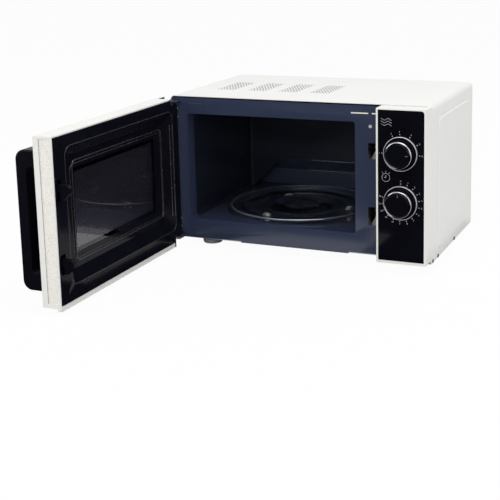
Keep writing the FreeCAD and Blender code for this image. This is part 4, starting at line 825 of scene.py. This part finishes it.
class OVEN_OT_stage(OvenOperator):
    """Build the floor, the lights and the camera"""

    bl_idname = "oven.stage"
    bl_label = "Stage"

    def execute(self, context):
        studio = context.scene.oven_studio
        self.floor(studio)
        self.daylight(studio)
        for lamp in LAMPS:
            self.soft_light(*lamp)
        self.dark_cards()
        self.camera(context, studio)
        context.scene.view_settings.view_transform = "Standard"
        return {"FINISHED"}

    def staged(self, name, shape, material):
        """Turns a bmesh into a piece of the stage."""
        mesh = bpy.data.meshes.new(name)
        shape.to_mesh(mesh)
        shape.free()
        mesh.materials.append(material)
        piece = bpy.data.objects.new(name, mesh)
        bpy.context.scene.collection.objects.link(piece)
        return piece

    def floor(self, studio):
        """White floor just under the feet."""
        gap = 0.0003
        shape = moved(sheet(studio.floor_size, studio.floor_size, 8, 8),
                      Matrix.Translation((0.0, 0.0, cad_low.z - gap)))
        self.staged("floor", shape, self.floor_finish(studio))

    def seen_directly(self, tree):
        """1 for a ray that the viewer sees, straight, through glass or in a mirror."""
        path = tree.nodes.new("ShaderNodeLightPath")
        value = path.outputs["Is Camera Ray"]
        for output in ("Is Transmission Ray", "Is Glossy Ray"):
            both = tree.nodes.new("ShaderNodeMath")
            both.operation = "MAXIMUM"
            tree.links.new(value, both.inputs[0])
            tree.links.new(path.outputs[output], both.inputs[1])
            value = both.outputs[0]
        return value

    def mix_to_output(self, tree, output, factor, first, second):
        """Sends a mix of two shaders, of which the factor is the second's share, to an output node."""
        mix = tree.nodes.new("ShaderNodeMixShader")
        tree.links.new(factor, mix.inputs["Fac"])
        tree.links.new(first.outputs[0], mix.inputs[1])
        tree.links.new(second.outputs[0], mix.inputs[2])
        tree.links.new(mix.outputs[0], tree.nodes.new(output).inputs["Surface"])

    def floor_finish(self, studio):
        """White paper that still takes the object's shadow and is never sampled as a lamp."""
        material = bpy.data.materials.new("white_paper")
        material.use_nodes = True
        material.cycles.emission_sampling = "NONE"
        tree = material.node_tree
        tree.nodes.clear()
        paper = tree.nodes.new("ShaderNodeBsdfDiffuse")
        paper.inputs["Color"].default_value = (0.80, 0.80, 0.80, 1.0)
        light = tree.nodes.new("ShaderNodeEmission")
        light.inputs["Color"].default_value = (1.0, 1.0, 1.0, 1.0)
        share = tree.nodes.new("ShaderNodeMath")
        share.operation = "MULTIPLY"
        share.inputs[1].default_value = studio.floor_white
        tree.links.new(self.seen_directly(tree), share.inputs[0])
        self.mix_to_output(tree, "ShaderNodeOutputMaterial", share.outputs[0], paper, light)
        return material

    def daylight(self, studio):
        """Even light from all round, and a white background."""
        world = bpy.data.worlds.new("studio")
        bpy.context.scene.world = world
        world.use_nodes = True
        tree = world.node_tree
        tree.nodes.clear()
        sides = []
        for strength in (studio.daylight, 1.0):
            background = tree.nodes.new("ShaderNodeBackground")
            background.inputs["Color"].default_value = (1.0, 1.0, 1.0, 1.0)
            background.inputs["Strength"].default_value = strength
            sides.append(background)
        self.mix_to_output(tree, "ShaderNodeOutputWorld", self.seen_directly(tree), *sides)

    def soft_light(self, name, place, aim, size, power):
        """Rectangular lamp that faces its aim."""
        light = bpy.data.lights.new(name, "AREA")
        light.shape = "RECTANGLE"
        light.size, light.size_y = size
        light.energy = power
        lamp = bpy.data.objects.new(name, light)
        bpy.context.scene.collection.objects.link(lamp)
        lamp.location = place
        lamp.rotation_mode = "QUATERNION"
        lamp.rotation_quaternion = (Vector(aim) - Vector(place)).to_track_quat("-Z", "Y")

    def dark_cards(self):
        """Black cards that only reflections see, so that the glossy black pieces stay dark."""
        material = bpy.data.materials.new("black_card")
        material.use_nodes = True
        shader = material.node_tree.nodes["Principled BSDF"]
        shader.inputs["Base Color"].default_value = (0.002, 0.002, 0.002, 1.0)
        shader.inputs["Specular IOR Level"].default_value = 0.0
        for name, size, place, tilt in CARDS:
            stand = Matrix.Translation(place) @ Matrix.Rotation(math.radians(tilt), 4, "X")
            card = self.staged(name, moved(sheet(*size), stand), material)
            card.visible_camera = False
            card.visible_diffuse = False
            card.visible_shadow = False
            card.visible_transmission = False

    def camera(self, context, studio):
        """Camera that is turned, tilted and rolled, in this order."""
        yaw, pitch, roll = studio.camera_yaw, studio.camera_pitch, studio.camera_roll
        forward = Vector((-math.sin(yaw) * math.cos(pitch), math.cos(yaw) * math.cos(pitch),
                          -math.sin(pitch)))
        level = Vector((math.cos(yaw), math.sin(yaw), 0.0))
        upright = level.cross(forward)
        right = level * math.cos(roll) + upright * math.sin(roll)
        up = upright * math.cos(roll) - level * math.sin(roll)
        data = bpy.data.cameras.new("camera")
        data.sensor_width = 36.0
        data.lens = studio.lens
        data.shift_x, data.shift_y = studio.camera_shift
        camera = bpy.data.objects.new("camera", data)
        context.scene.collection.objects.link(camera)
        turn = Matrix((right, up, -forward)).transposed()
        camera.matrix_world = Matrix.Translation(studio.camera_place) @ turn.to_4x4()
        context.scene.camera = camera


class OVEN_OT_cover(OvenOperator):
    """Build the painted cover with its screws"""

    bl_idname = "oven.cover"
    bl_label = "Cover"

    def execute(self, context):
        shape = copy_of("outer_cover")
        low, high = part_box("outer_cover")
        corner, tab_drop, tab_depth = 0.02, 0.008, 0.003
        vents_from, top_sheet = 0.02, 0.0009
        for face in shape.faces:
            middle = face.calc_center_median()
            if not low.x + corner < middle.x < high.x - corner:
                continue
            # painted shade: the front tabs on the cover's left half take the dark enamel in place of white
            if middle.x < 0.0 and middle.z < high.z - tab_drop and middle.y < low.y + tab_depth:
                face.material_index = 1
            # the walls of the vent holes: bare cut steel, darker also as painted shade
            upright = abs(face.normal.z) < 0.5
            if upright and middle.z > high.z - top_sheet and middle.y > low.y + vents_from:
                face.material_index = 2
        place_piece("cabinet_cover", shape, "cabinet", ["white_paint", "enamel_edge", "cut_steel"],
                    ("outer_cover",), smooth=24.0)
        self.joint_strip(high.z - top_sheet)
        coat_node("panel_screws", "dark_chrome")
        return {"FINISHED"}

    def joint_strip(self, top):
        """Dark strip as a painted shadow in the joint between the front plate's top edge and the cover."""
        low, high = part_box("front_plate")
        depth, set_back, gap, panel_gap = 0.0040, 0.0023, 0.0001, 0.0005
        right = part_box("control_panel_frame")[0].x - panel_gap
        strip = block((right - low.x, depth, top - high.z - gap),
                      ((low.x + right) / 2, low.y + set_back, (top + high.z) / 2))
        place_piece("joint_strip", strip, "cabinet", "soft_black")


class OVEN_OT_back_and_base(OvenOperator):
    """Build the rear panel, the base pan and the feet"""

    bl_idname = "oven.back_and_base"
    bl_label = "Back and base"

    def execute(self, context):
        for name, node in (("rear_sheet", "rear_panel"), ("base_sheet", "base_pan")):
            place_piece(name, copy_of(node), "cabinet", "zinc_sheet", (node,))
        eased_copy("spacers", "wall_spacers", "cabinet", "grey_plastic", width=0.0005)
        place_piece("gland", copy_of("cord_gland"), "cabinet", "satin_black", ("cord_gland",))
        coat_node("foot_screws", "bright_steel")
        self.feet(context.scene.oven_cabinet)
        return {"FINISHED"}

    def feet(self, sizes):
        """Ribbed feet, each with its socket and the seat of its screw."""
        low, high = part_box("feet")
        height = high.z - low.z
        radius = sizes.foot_radius
        base = radius - sizes.foot_flare
        chamfer, half_mouth, half_bottom = 0.0010, 0.0008, 0.0004
        socket, socket_top, seat, seat_top, hole = 0.005, 0.008, 0.0042, 0.012, 0.0018
        profile = [(socket, 0.0), (base - chamfer, 0.0), (base, chamfer)]
        for rise in (0.0045, 0.0085, 0.0125):
            side = base + sizes.foot_flare * rise / height
            groove = side - sizes.foot_groove
            profile += [(side, rise - half_mouth), (groove, rise - half_bottom),
                        (groove, rise + half_bottom), (side, rise + half_mouth)]
        profile += [(radius, height), (hole, height), (hole, seat_top), (seat, seat_top),
                    (seat, socket_top), (socket, socket_top)]
        feet = []
        for x in (low.x + radius, high.x - radius):
            for y in (low.y + radius, high.y - radius):
                feet.append(moved(turned(profile, 64), Matrix.Translation((x, y, low.z))))
        place_piece("ribbed_feet", gathered(feet), "cabinet", "rubber", ("feet",))


class OVEN_OT_oven_lining(OvenOperator):
    """Build the front plate, the oven's walls and what is fixed to them"""

    bl_idname = "oven.oven_lining"
    bl_label = "Oven lining"

    def execute(self, context):
        sizes = context.scene.oven_cabinet
        shape = copy_of("front_plate")
        self.round_mouth(shape, sizes)
        plate = place_piece("enamel_plate", shape, "cabinet", ["slate_enamel", "enamel_edge"],
                            ("front_plate",))
        ease_edges(plate, sizes.plate_edge, 1)
        self.crease()
        self.walls(sizes)
        # the floor takes the paler enamel as painted light
        eased_copy("oven_floor", "cavity_floor", "cabinet", "worn_enamel", sizes.plate_edge, 1)
        self.folds(sizes)
        coat_node("plate_rivets", "satin_chrome")
        coat_node("hinge_brackets", "slate_enamel")
        coat_node("waveguide_cover", "mica")
        return {"FINISHED"}

    def round_mouth(self, shape, sizes):
        """Rounds the plate's front edge all round the oven's mouth."""
        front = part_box("front_plate")[0].y
        least_area = 0.00001
        edges = []
        for edge in shape.edges:
            if len(edge.link_faces) != 2 or any(abs(vert.co.y - front) > 0.00005 for vert in edge.verts):
                continue
            inner = [face for face in edge.link_faces if abs(face.normal.y) < 0.1]
            if inner and inner[0].calc_area() > least_area:
                edges.append(edge)
        made = bmesh.ops.bevel(shape, geom=edges, offset=sizes.mouth_edge, offset_type="OFFSET", segments=3,
                               profile=0.5, affect="EDGES", material=-1, clamp_overlap=True)
        # the mouth's rounded faces take the metallic enamel as a painted highlight
        for face in made["faces"]:
            face.material_index = 1

    def crease(self):
        """Fold along the foot of the plate, above its tongue."""
        low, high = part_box("front_plate")
        left_margin, right_margin = 0.1175, 0.0645
        left, right = low.x + left_margin, high.x - right_margin
        thickness, width, rise = 0.0006, 0.0011, 0.0026
        bar = block((right - left, thickness, width), ((left + right) / 2, low.y - 0.0001, low.z + rise))
        fold = place_piece("plate_fold", bar, "cabinet", "slate_enamel")
        ease_edges(fold, width=0.00025)

    def walls(self, sizes):
        """The oven's walls, with a paler enamel as painted light in the pocket at the foot of the back wall.
        """
        shape = copy_of("cavity_shell")
        pocket_depth = 0.0365
        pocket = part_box("cavity_shell")[1].y - pocket_depth
        for face in shape.faces:
            if face.calc_center_median().y > pocket:
                face.material_index = 1
        walls = place_piece("oven_walls", shape, "cabinet", ["cavity_enamel", "worn_enamel"],
                            ("cavity_shell",))
        ease_edges(walls, sizes.plate_edge, 1)

    def folds(self, sizes):
        """Metallic beads as painted highlights along the folds where the back wall steps back towards its
        foot, only on its right-hand part.
        """
        low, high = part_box("cavity_shell")
        # distance from the shell's back, height above its foot, and both ends from its right side
        places = ((0.0370, 0.0567, 0.170, 0.0625), (0.0030, 0.0300, 0.190, 0.0360))
        folds = []
        for back, rise, start, end in places:
            left, right = high.x - start, high.x - end
            place = Matrix.Translation(((left + right) / 2, high.y - back, low.z + rise))
            fold = rod(sizes.fold_radius, right - left, 16)
            folds.append(moved(fold, place @ Matrix.Rotation(math.radians(90.0), 4, "Y")))
        place_piece("rear_fold_highlights", gathered(folds), "cabinet", "sheen_edge")


class OVEN_OT_control_panel(OvenOperator):
    """Build the control panel's frame, its fascia and the printed scales"""

    bl_idname = "oven.control_panel"
    bl_label = "Control panel"

    def execute(self, context):
        sizes = context.scene.oven_panel
        eased_copy("panel_frame", "control_panel_frame", "cabinet", "white_plastic",
                   sizes.frame_edge)
        eased_copy("fascia", "control_panel_fascia", "cabinet", "gloss_black", width=0.00025)
        self.scales(sizes)
        return {"FINISHED"}

    def scales(self, sizes):
        """Both dials' dots and figures, with the sign above each."""
        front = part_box("control_panel_fascia")[0].y - sizes.print_thickness / 2
        power = middle_of("power_knob_ring")
        timer = middle_of("timer_knob_ring")
        power_angles = (269.0, 334.0, 357.0, 29.0, 61.0, 93.0)
        minutes = (*range(11), 15, 20, 25, 30)
        timer_span = 284.0
        waves_left, waves_up = 0.0222, 0.0470
        clock_left, clock_up = 0.0228, 0.0375
        marks = []
        for index, angle in enumerate(power_angles):
            marks += self.mark(sizes, power, front, angle, str(index + 1))
        for index, minute in enumerate(minutes):
            marks += self.mark(sizes, timer, front, timer_span * index / (len(minutes) - 1), str(minute))
        marks += self.waves(power.x - waves_left, front, power.z + waves_up, sizes)
        marks += self.clock(timer.x - clock_left, front, timer.z + clock_up, sizes)
        place_piece("printed_scales", gathered(marks), "cabinet", "printed_white")

    def mark(self, sizes, centre, y, degrees, figure):
        """A dot and its figure, at an angle clockwise from the top."""
        angle = math.radians(degrees)
        across, rise = math.sin(angle), math.cos(angle)
        shapes = []
        for shape, circle in ((rod(sizes.dot_radius, sizes.print_thickness, 12), sizes.dot_circle),
                              (self.figure(figure, sizes), sizes.figure_circle)):
            place = facing_front(centre.x + circle * across, y, centre.z + circle * rise)
            shapes.append(moved(shape, place))
        return shapes

    def figure(self, text, sizes):
        """A number as a thin solid, centred on the origin."""
        size_of_digit = 1.35        # the font's size for digits of height 1
        curve = bpy.data.curves.new("figure", "FONT")
        curve.body = text
        curve.size = sizes.figure_height * size_of_digit
        curve.align_x = "CENTER"
        curve.align_y = "CENTER"
        curve.extrude = sizes.print_thickness / 2
        curve.resolution_u = 3
        curve.offset = -0.00006     # thins the strokes
        holder = bpy.data.objects.new("figure", curve)
        bpy.context.scene.collection.objects.link(holder)
        bpy.context.view_layer.update()
        mesh = bpy.data.meshes.new_from_object(holder)
        shape = bmesh.new()
        shape.from_mesh(mesh)
        bpy.data.objects.remove(holder)
        bpy.data.meshes.remove(mesh)
        bpy.data.curves.remove(curve)
        return shape

    def waves(self, x, y, z, sizes):
        """Three wavy lines, the sign for heating power."""
        length, stroke, height, spacing, periods = 0.0170, 0.00038, 0.0013, 0.0041, 1.5
        lines = []
        for row in (-1, 0, 1):
            shape = sheet(length, stroke, 32, 1)
            for vert in shape.verts:
                phase = (vert.co.x / length + 0.5) * periods * math.tau
                vert.co.y += height * math.cos(phase) + row * spacing
            bmesh.ops.solidify(shape, geom=shape.faces, thickness=sizes.print_thickness)
            lines.append(moved(shape, facing_front(x, y, z)))
        return lines

    def clock(self, x, y, z, sizes):
        """A dial with two hands and three rays, the sign for time."""
        thick = sizes.print_thickness
        inner, outer = 0.0059, 0.0063
        ring = [(inner, -thick / 2), (outer, -thick / 2), (outer, thick / 2), (inner, thick / 2)]
        long_hand = block((0.0005, 0.0038, thick), (0.0, 0.0018, 0.0))
        short_hand = block((0.0030, 0.0005, thick), (-0.0013, 0.0, 0.0))
        parts = [turned(ring, 48), long_hand, short_hand]
        for angle in (-36.0, 0.0, 36.0):
            ray = block((0.0004, 0.0026, thick), (0.0, 0.0089, 0.0))
            parts.append(moved(ray, Matrix.Rotation(math.radians(angle), 4, "Z")))
        return [moved(part, facing_front(x, y, z)) for part in parts]


class OVEN_OT_knobs(OvenOperator):
    """Build both knobs with their bright rings and pointers"""

    bl_idname = "oven.knobs"
    bl_label = "Knobs"

    def execute(self, context):
        sizes = context.scene.oven_panel
        for name, turn in (("power_knob", 90.0), ("timer_knob", 0.0)):
            self.knob(sizes, name, turn)
            coat_node(name.replace("knob", "shaft"), "pale_plastic")
        return {"FINISHED"}

    def knob(self, sizes, name, turn):
        """Base ring, grip, face ring and pointer, which stands turn degrees clockwise from the top."""
        ring_low, ring_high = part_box(name + "_ring")
        centre = (ring_low + ring_high) / 2
        base = (ring_high.x - ring_low.x) / 2
        deep = ring_high.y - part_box(name)[0].y
        stand = facing_front(centre.x, ring_high.y, centre.z)

        wall, rise = 0.0010, 0.0030
        ring = turned([(base - wall, 0.0), (base, 0.0), (base, rise - 0.0001)]
                      + arc(base - wall / 2, rise, wall / 2, 0.0, 180.0, 8))
        place_piece(name + "_base_ring", moved(ring, stand), name, "satin_chrome",
                    (name + "_ring",), smooth=40.0)

        radius = sizes.grip_radius
        bore, bore_top = 0.0031, 0.0110
        skirt = [(bore, 0.0), (base - 0.0009, 0.0), (base - wall, 0.0027), (radius, rise)]
        side = [(radius - 0.0003, 0.0040), (radius - 0.0004, 0.0050), (radius - 0.0006, deep - 0.0029)]
        seat = [(radius - 0.0022, deep - 0.0029), (radius - 0.0035, deep - 0.0012),
                (radius - 0.0035, deep - 0.0002)]
        face = [(0.0178, deep), (0.0174, deep - 0.0004), (0.0169, deep - 0.0004), (0.0165, deep), (0.0, deep)]
        grip = turned(skirt + side + seat + face + [(0.0, bore_top), (bore, bore_top)], 128)
        piece = place_piece(name + "_grip", moved(grip, stand), name, "gloss_black", (name,),
                            smooth=38.0)
        ease_edges(piece, width=0.00018)

        trim = turned([(radius - 0.0034, deep - 0.0010), (radius - 0.0020, deep - 0.0027)]
                      + arc(radius - 0.0033, deep - 0.0026, 0.0028, 0.0, 90.0, 8))
        place_piece(name + "_face_ring", moved(trim, stand), name, "dark_chrome",
                    (name + "_trim",), smooth=40.0)

        pointer_at, pointer_height = 0.0135, 0.0004
        pointer = block((sizes.pointer_width, sizes.pointer_length, pointer_height),
                        (0.0, pointer_at, deep + 0.0001))
        spin = Matrix.Rotation(math.radians(-turn), 4, "Z")
        mark = place_piece(name + "_pointer", moved(pointer, stand @ spin), name, "printed_grey")
        ease_edges(mark, width=0.00012)


class OVEN_OT_door_frame(OvenOperator):
    """Build the door's white frame with its grained edge"""

    bl_idname = "oven.door_frame"
    bl_label = "Door frame"

    def execute(self, context):
        sizes = context.scene.oven_door
        shape = copy_of("door_outer_frame")
        low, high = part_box("door_outer_frame")
        hinge_side = high.y - 0.026
        cut_across(shape, [face for face in shape.faces if face.normal.x > 0.9], 1, hinge_side)
        for face in shape.faces:
            face.material_index = self.coat_of(face, low, high, hinge_side)
        coats = ["white_plastic", "grained_plastic", "soft_black", "shaded_plastic"]
        piece = place_piece("door_frame", shape, "door", coats, ("door_outer_frame",))
        ease_edges(piece, sizes.frame_edge)
        coat_node("door_bushes", "pale_plastic")
        coat_node("handle_screws", "bright_steel")
        return {"FINISHED"}

    def coat_of(self, face, low, high, hinge_side):
        """Coat of a face: 0 plain, 1 grained, 2 black round the hinges, 3 painted shade in the step of the
        grained edge.
        """
        middle, normal = face.calc_center_median(), face.normal
        step_start, step_end, grained_area = 0.0001, 0.0015, 0.001
        if low.y + step_start < middle.y < low.y + step_end:
            if normal.y < -0.9 and face.calc_area() > grained_area:
                return 1
            # the step's walls that face down or to the right take the painted shade
            return 3 if abs(normal.y) < 0.5 and (normal.z < -0.5 or normal.x > 0.5) else 0
        skin, front_wall = 0.0003, 0.0035
        rim = normal.x > 0.9 and middle.x > high.x - skin and middle.y > hinge_side
        at_upper_pin = high.z - 0.0125 < middle.z < high.z - 0.0002
        at_lower_pin = low.z + 0.0042 < middle.z < low.z + 0.0185
        notch = hinge_side < middle.y < high.y - skin and middle.x > low.x + front_wall
        return 2 if rim or (notch and (at_upper_pin or at_lower_pin)) else 0


class OVEN_OT_door_linings(OvenOperator):
    """Build the door's inner cover, window, screen and outer glass"""

    bl_idname = "oven.door_linings"
    bl_label = "Door linings"

    def execute(self, context):
        sizes = context.scene.oven_door
        eased_copy("inner_cover", "door_inner_cover", "door", "moulded_black",
                   sizes.cover_edge, smooth=30.0)
        coat_node("door_panel", "satin_black")
        place_piece("window_film", copy_of("door_window_film"), "door", "clear_film",
                    ("door_window_film",))
        self.screen(sizes)
        self.beads()
        self.glass()
        return {"FINISHED"}

    def screen(self, sizes):
        """Sheet with a fine grid of holes, and a plain border."""
        low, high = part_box("door_screen")
        middle = (low + high) / 2
        wide, tall = high.y - low.y, high.z - low.z
        columns = int((wide - 2 * sizes.screen_border) / sizes.screen_pitch)
        rows = int((tall - 2 * sizes.screen_border) / sizes.screen_pitch)
        across, up = columns * sizes.screen_pitch, rows * sizes.screen_pitch
        shape = sheet(across, up, columns, rows)
        cells = list(shape.faces)
        rim = bmesh.ops.extrude_edge_only(shape, edges=[edge for edge in shape.edges if edge.is_boundary])
        bmesh.ops.transform(shape, matrix=Matrix.Diagonal((wide / across, tall / up, 1.0, 1.0)),
                            verts=[part for part in rim["geom"] if isinstance(part, bmesh.types.BMVert)])
        bmesh.ops.inset_individual(shape, faces=cells, thickness=(sizes.screen_pitch - sizes.screen_hole) / 2,
                                   use_even_offset=True)
        bmesh.ops.delete(shape, geom=cells, context="FACES")
        moved(shape, facing_right(*middle))
        bmesh.ops.solidify(shape, geom=shape.faces, thickness=high.x - low.x)
        drift = middle.x - sum(vert.co.x for vert in shape.verts) / len(shape.verts)
        bmesh.ops.translate(shape, verts=shape.verts, vec=(drift, 0.0, 0.0))
        place_piece("perforated_screen", shape, "door", "screen_steel", ("door_screen",))

    def beads(self):
        """Raised beads round the window and the cover's face, and two rails on the hinge side, whose metallic
        black shows painted highlight lines.
        """
        film_low, film_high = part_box("door_window_film")
        low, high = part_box("door_inner_cover")
        # share of a bead's width, and of its height there
        half_round = ((0.0, 0.0), (0.05, 0.5), (0.25, 0.9), (0.5, 1.0), (0.75, 0.9), (0.95, 0.5), (1.0, 0.0))
        # how far each bead stands outside the film on its four sides, and its width and height
        window_beads = ((-0.0010, 0.0255, 0.0140, 0.0110, 0.0022, 0.0012),
                        (0.0040, 0.0225, 0.0100, 0.0060, 0.0012, 0.0006))
        corner, sunk = 0.0090, 0.0003
        shapes = []
        for near, far, below, above, wide, tall in window_beads:
            loops = []
            for share, rise in half_round:
                inset = wide * share
                loops.append((film_low.y - near + inset, film_high.y + far - inset,
                              film_low.z - below + inset, film_high.z + above - inset,
                              tall * rise, corner - inset))
            shapes.append(moved(bead(loops, 8), facing_right(film_high.x - sunk)))

        rail_radius, rail_overhang = 0.0011, 0.015
        for back, depth in ((0.0237, 0.0036), (0.0195, 0.0006)):
            rail = rod(rail_radius, film_high.z - film_low.z + 2 * rail_overhang, 12)
            place = (high.x - depth, high.y - back, (film_low.z + film_high.z) / 2)
            shapes.append(moved(rail, Matrix.Translation(place)))

        corner = 0.0140
        edge_round = ((-0.0012, 0.0), (-0.0010, 0.0003), (-0.0006, 0.0004), (-0.0002, 0.0003), (0.0, 0.0))
        loops = []
        for inset, rise in edge_round:
            loops.append((low.y + 0.0268 + inset, high.y - 0.0188 - inset,
                          low.z + 0.0218 + inset, high.z - 0.0173 - inset, rise, corner - inset))
        shapes.append(moved(bead(loops, 10), facing_right(high.x - 0.0001)))
        place_piece("window_steps", gathered(shapes), "door", "sheen_black")

    def glass(self):
        """Outer glass, black behind its border and smoked over the window."""
        shape = copy_of("door_glass")
        film_low, film_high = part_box("door_window_film")
        margin = Vector((0.004, 0.004, 0.004))
        start, end = film_low - margin, film_high + margin
        for axis, at in ((1, start.y), (1, end.y), (2, start.z), (2, end.z)):
            cut_across(shape, shape.faces, axis, at)
        for face in shape.faces:
            middle = face.calc_center_median()
            inside = start.y < middle.y < end.y and start.z < middle.z < end.z
            face.material_index = 1 if inside else 0
        piece = place_piece("outer_glass", shape, "door", ["black_glass", "smoked_glass"],
                            ("door_glass",))
        ease_edges(piece, width=0.0004)


class OVEN_OT_handle(OvenOperator):
    """Build the door's handle"""

    bl_idname = "oven.handle"
    bl_label = "Handle"

    def execute(self, context):
        eased_copy("handle", "door_handle", "door", "soft_black",
                   context.scene.oven_door.handle_edge, segments=3, smooth=30.0)
        return {"FINISHED"}


class OVEN_OT_latch(OvenOperator):
    """Build the latch hooks, their spring, the latch bracket and the switches"""

    bl_idname = "oven.latch"
    bl_label = "Latch"

    def execute(self, context):
        eased_copy("hooks", "latch_hooks", "latch", "soft_black", width=0.0005)
        self.bracket()
        self.ramps()
        self.spring()
        coat_node("microswitches", "grey_plastic")
        coat_node("switch_buttons", "pale_plastic")
        return {"FINISHED"}

    def bracket(self):
        """Catch bracket, pale where it faces up and dark elsewhere as painted shade."""
        shape = copy_of("latch_bracket")
        # painted shade: faces that don't face up take the dark coat
        for face in shape.faces:
            face.material_index = 0 if face.normal.z > 0.5 else 1
        bracket = place_piece("catch_bracket", shape, "cabinet", ["pale_plastic", "smoky_plastic"],
                              ("latch_bracket",))
        ease_edges(bracket, width=0.0004)

    def ramps(self):
        """Pale ramps behind the slots that guide the hooks."""
        low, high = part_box("latch_bracket")
        size = Vector((0.0090, 0.0108, 0.0175))
        low_end = 0.1           # height of a ramp's left end, as a share of its right end
        ramps = []
        for foot in (low.z + 0.0090, low.z + 0.1140):
            middle = Vector((low.x + 0.0085, high.y - 0.0086, foot + size.z / 2))
            shape = block(size, middle)
            for vert in shape.verts:
                if vert.co.x < middle.x:
                    vert.co.z = min(vert.co.z, foot + size.z * low_end)
            ramps.append(shape)
        piece = place_piece("hook_ramps", gathered(ramps), "cabinet", "pale_plastic")
        ease_edges(piece, width=0.0003)

    def spring(self):
        """Coil of the hooks' spring, with a mesh of its own."""
        coil = place_piece("hook_spring", copy_of("latch_spring"), "door", "bright_steel",
                           ("latch_spring",))
        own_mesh(coil)


class OVEN_OT_turntable(OvenOperator):
    """Build the glass tray, the roller ring, its wheels and the coupler"""

    bl_idname = "oven.turntable"
    bl_label = "Turntable"

    def execute(self, context):
        self.tray(context.scene.oven_turntable)
        eased_copy("ring_of_rollers", "roller_ring", "ring", "smoky_plastic", width=0.0006)
        for number in (1, 2, 3):
            eased_copy("roller_%d" % number, "roller_wheel_%d" % number, "wheel_%d" % number, "pale_plastic",
                       width=0.0003)
        eased_copy("drive_hub", "turntable_coupler", "coupler", "smoky_plastic", width=0.0004)
        coat_node("turntable_motor", "bright_steel")
        return {"FINISHED"}

    def tray(self, sizes):
        """Glass tray with two moulded rings, a rolled rim and three ribs that the coupler drives."""
        low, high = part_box("glass_tray")
        radius = (high.x - low.x) / 2
        rim_height, thickness, roll = 0.0067, 0.0032, 0.0017
        bottom = high.z - rim_height
        inner = bottom + thickness
        ridge = sizes.ridge_height
        upper = [(0.0, inner), (0.0180, inner)]
        for at in (0.030, 0.098):
            upper += [(at, inner), (at + 0.0008, inner + ridge), (at + 0.0020, inner + ridge),
                      (at + 0.0028, inner)]
        upper += [(radius - 0.0155, inner), (radius - 0.0115, inner + 0.0003),
                  (radius - 0.0075, inner + 0.0014), (radius - 0.0048, inner + 0.0026)]
        rim = arc(radius - roll, high.z - roll, roll, 170.0, -60.0, 14)
        under = [(radius - 0.0034, bottom + 0.0026), (radius - 0.0052, bottom + 0.0014),
                 (radius - 0.0095, bottom + 0.0006), (radius - 0.0150, bottom), (0.0, bottom)]
        plate = turned(upper + rim + under, sizes.steps, closed=False)
        # the rolled rim takes the metallic finish as painted highlights
        rim_reach = 0.0033
        for face in plate.faces:
            middle = face.calc_center_median()
            if math.hypot(middle.x, middle.y) > radius - rim_reach and middle.z > high.z - rim_reach:
                face.material_index = 1
        shapes = [plate]
        for angle in (80.0, 200.0, 320.0):
            rib = block((0.0065, 0.0050, 0.0041), (0.01175, 0.0, bottom - 0.00195))
            # the ribs take the metallic finish as painted glints
            for face in rib.faces:
                face.material_index = 1
            shapes.append(moved(rib, Matrix.Rotation(math.radians(angle), 4, "Z")))
        centre = Matrix.Translation(((low.x + high.x) / 2, (low.y + high.y) / 2, 0.0))
        place_piece("tray", gathered(moved(shape, centre) for shape in shapes), "tray",
                    ["tray_glass", "sheen_edge"], ("glass_tray",), smooth=40.0)


class OVEN_OT_works(OvenOperator):
    """Finish the parts inside the cabinet"""

    bl_idname = "oven.works"
    bl_label = "Works"

    def execute(self, context):
        for coat, nodes in (
                ("zinc_sheet", ("waveguide", "magnetron_yoke", "oven_lamp")),
                ("brushed_aluminium", ("magnetron_anode", "capacitor")),
                ("motor_steel", ("transformer_core", "fan_motor")),
                ("enamelled_copper", ("transformer_windings",)),
                ("grey_plastic", ("fan_blade", "high_voltage_diode", "timer_casing",
                                  "power_selector_casing")),
                ("pale_plastic", ("fan_shroud",)),
                ("circuit_board", ("filter_board",)),
                ("ceramic", ("thermal_cutout",))):
            for node in nodes:
                coat_node(node, coat)
        return {"FINISHED"}


class OVEN_PT_oven(bpy.types.Panel):
    """Sidebar panel with every step of the build and its settings"""

    bl_idname = "OVEN_PT_oven"
    bl_label = "Microwave oven"
    bl_space_type = "VIEW_3D"
    bl_region_type = "UI"
    bl_category = "Oven"

    def draw(self, context):
        for operator in STEPS:
            self.layout.operator(operator.bl_idname)
        for group in GROUPS:
            settings = getattr(context.scene, group)
            box = self.layout.box()
            for name in settings.bl_rna.properties.keys():
                if name not in ("rna_type", "name"):
                    box.prop(settings, name)


GROUPS = {
    "oven_colours": OvenColours,
    "oven_cabinet": CabinetSizes,
    "oven_panel": PanelSizes,
    "oven_door": DoorSizes,
    "oven_turntable": TurntableSizes,
    "oven_studio": StudioSettings,
}

STEPS = (
    OVEN_OT_cover,
    OVEN_OT_back_and_base,
    OVEN_OT_oven_lining,
    OVEN_OT_control_panel,
    OVEN_OT_knobs,
    OVEN_OT_door_frame,
    OVEN_OT_door_linings,
    OVEN_OT_handle,
    OVEN_OT_latch,
    OVEN_OT_turntable,
    OVEN_OT_works,
    OVEN_OT_stage,
)


def register():
    """Adds the settings, the steps and the panel to Blender."""
    for group in GROUPS.values():
        bpy.utils.register_class(group)
    for name, group in GROUPS.items():
        setattr(bpy.types.Scene, name, PointerProperty(type=group))
    for operator in STEPS:
        bpy.utils.register_class(operator)
    bpy.utils.register_class(OVEN_PT_oven)


def unregister():
    """Takes the panel, the steps and the settings out again."""
    bpy.utils.unregister_class(OVEN_PT_oven)
    for operator in reversed(STEPS):
        bpy.utils.unregister_class(operator)
    for name in reversed(list(GROUPS)):
        delattr(bpy.types.Scene, name)
    for group in reversed(list(GROUPS.values())):
        bpy.utils.unregister_class(group)


def main():
    """Builds the oven step by step."""
    register()
    for operator in STEPS:
        family, step = operator.bl_idname.split(".")
        getattr(getattr(bpy.ops, family), step)()


if __name__ == "__main__":
    main()
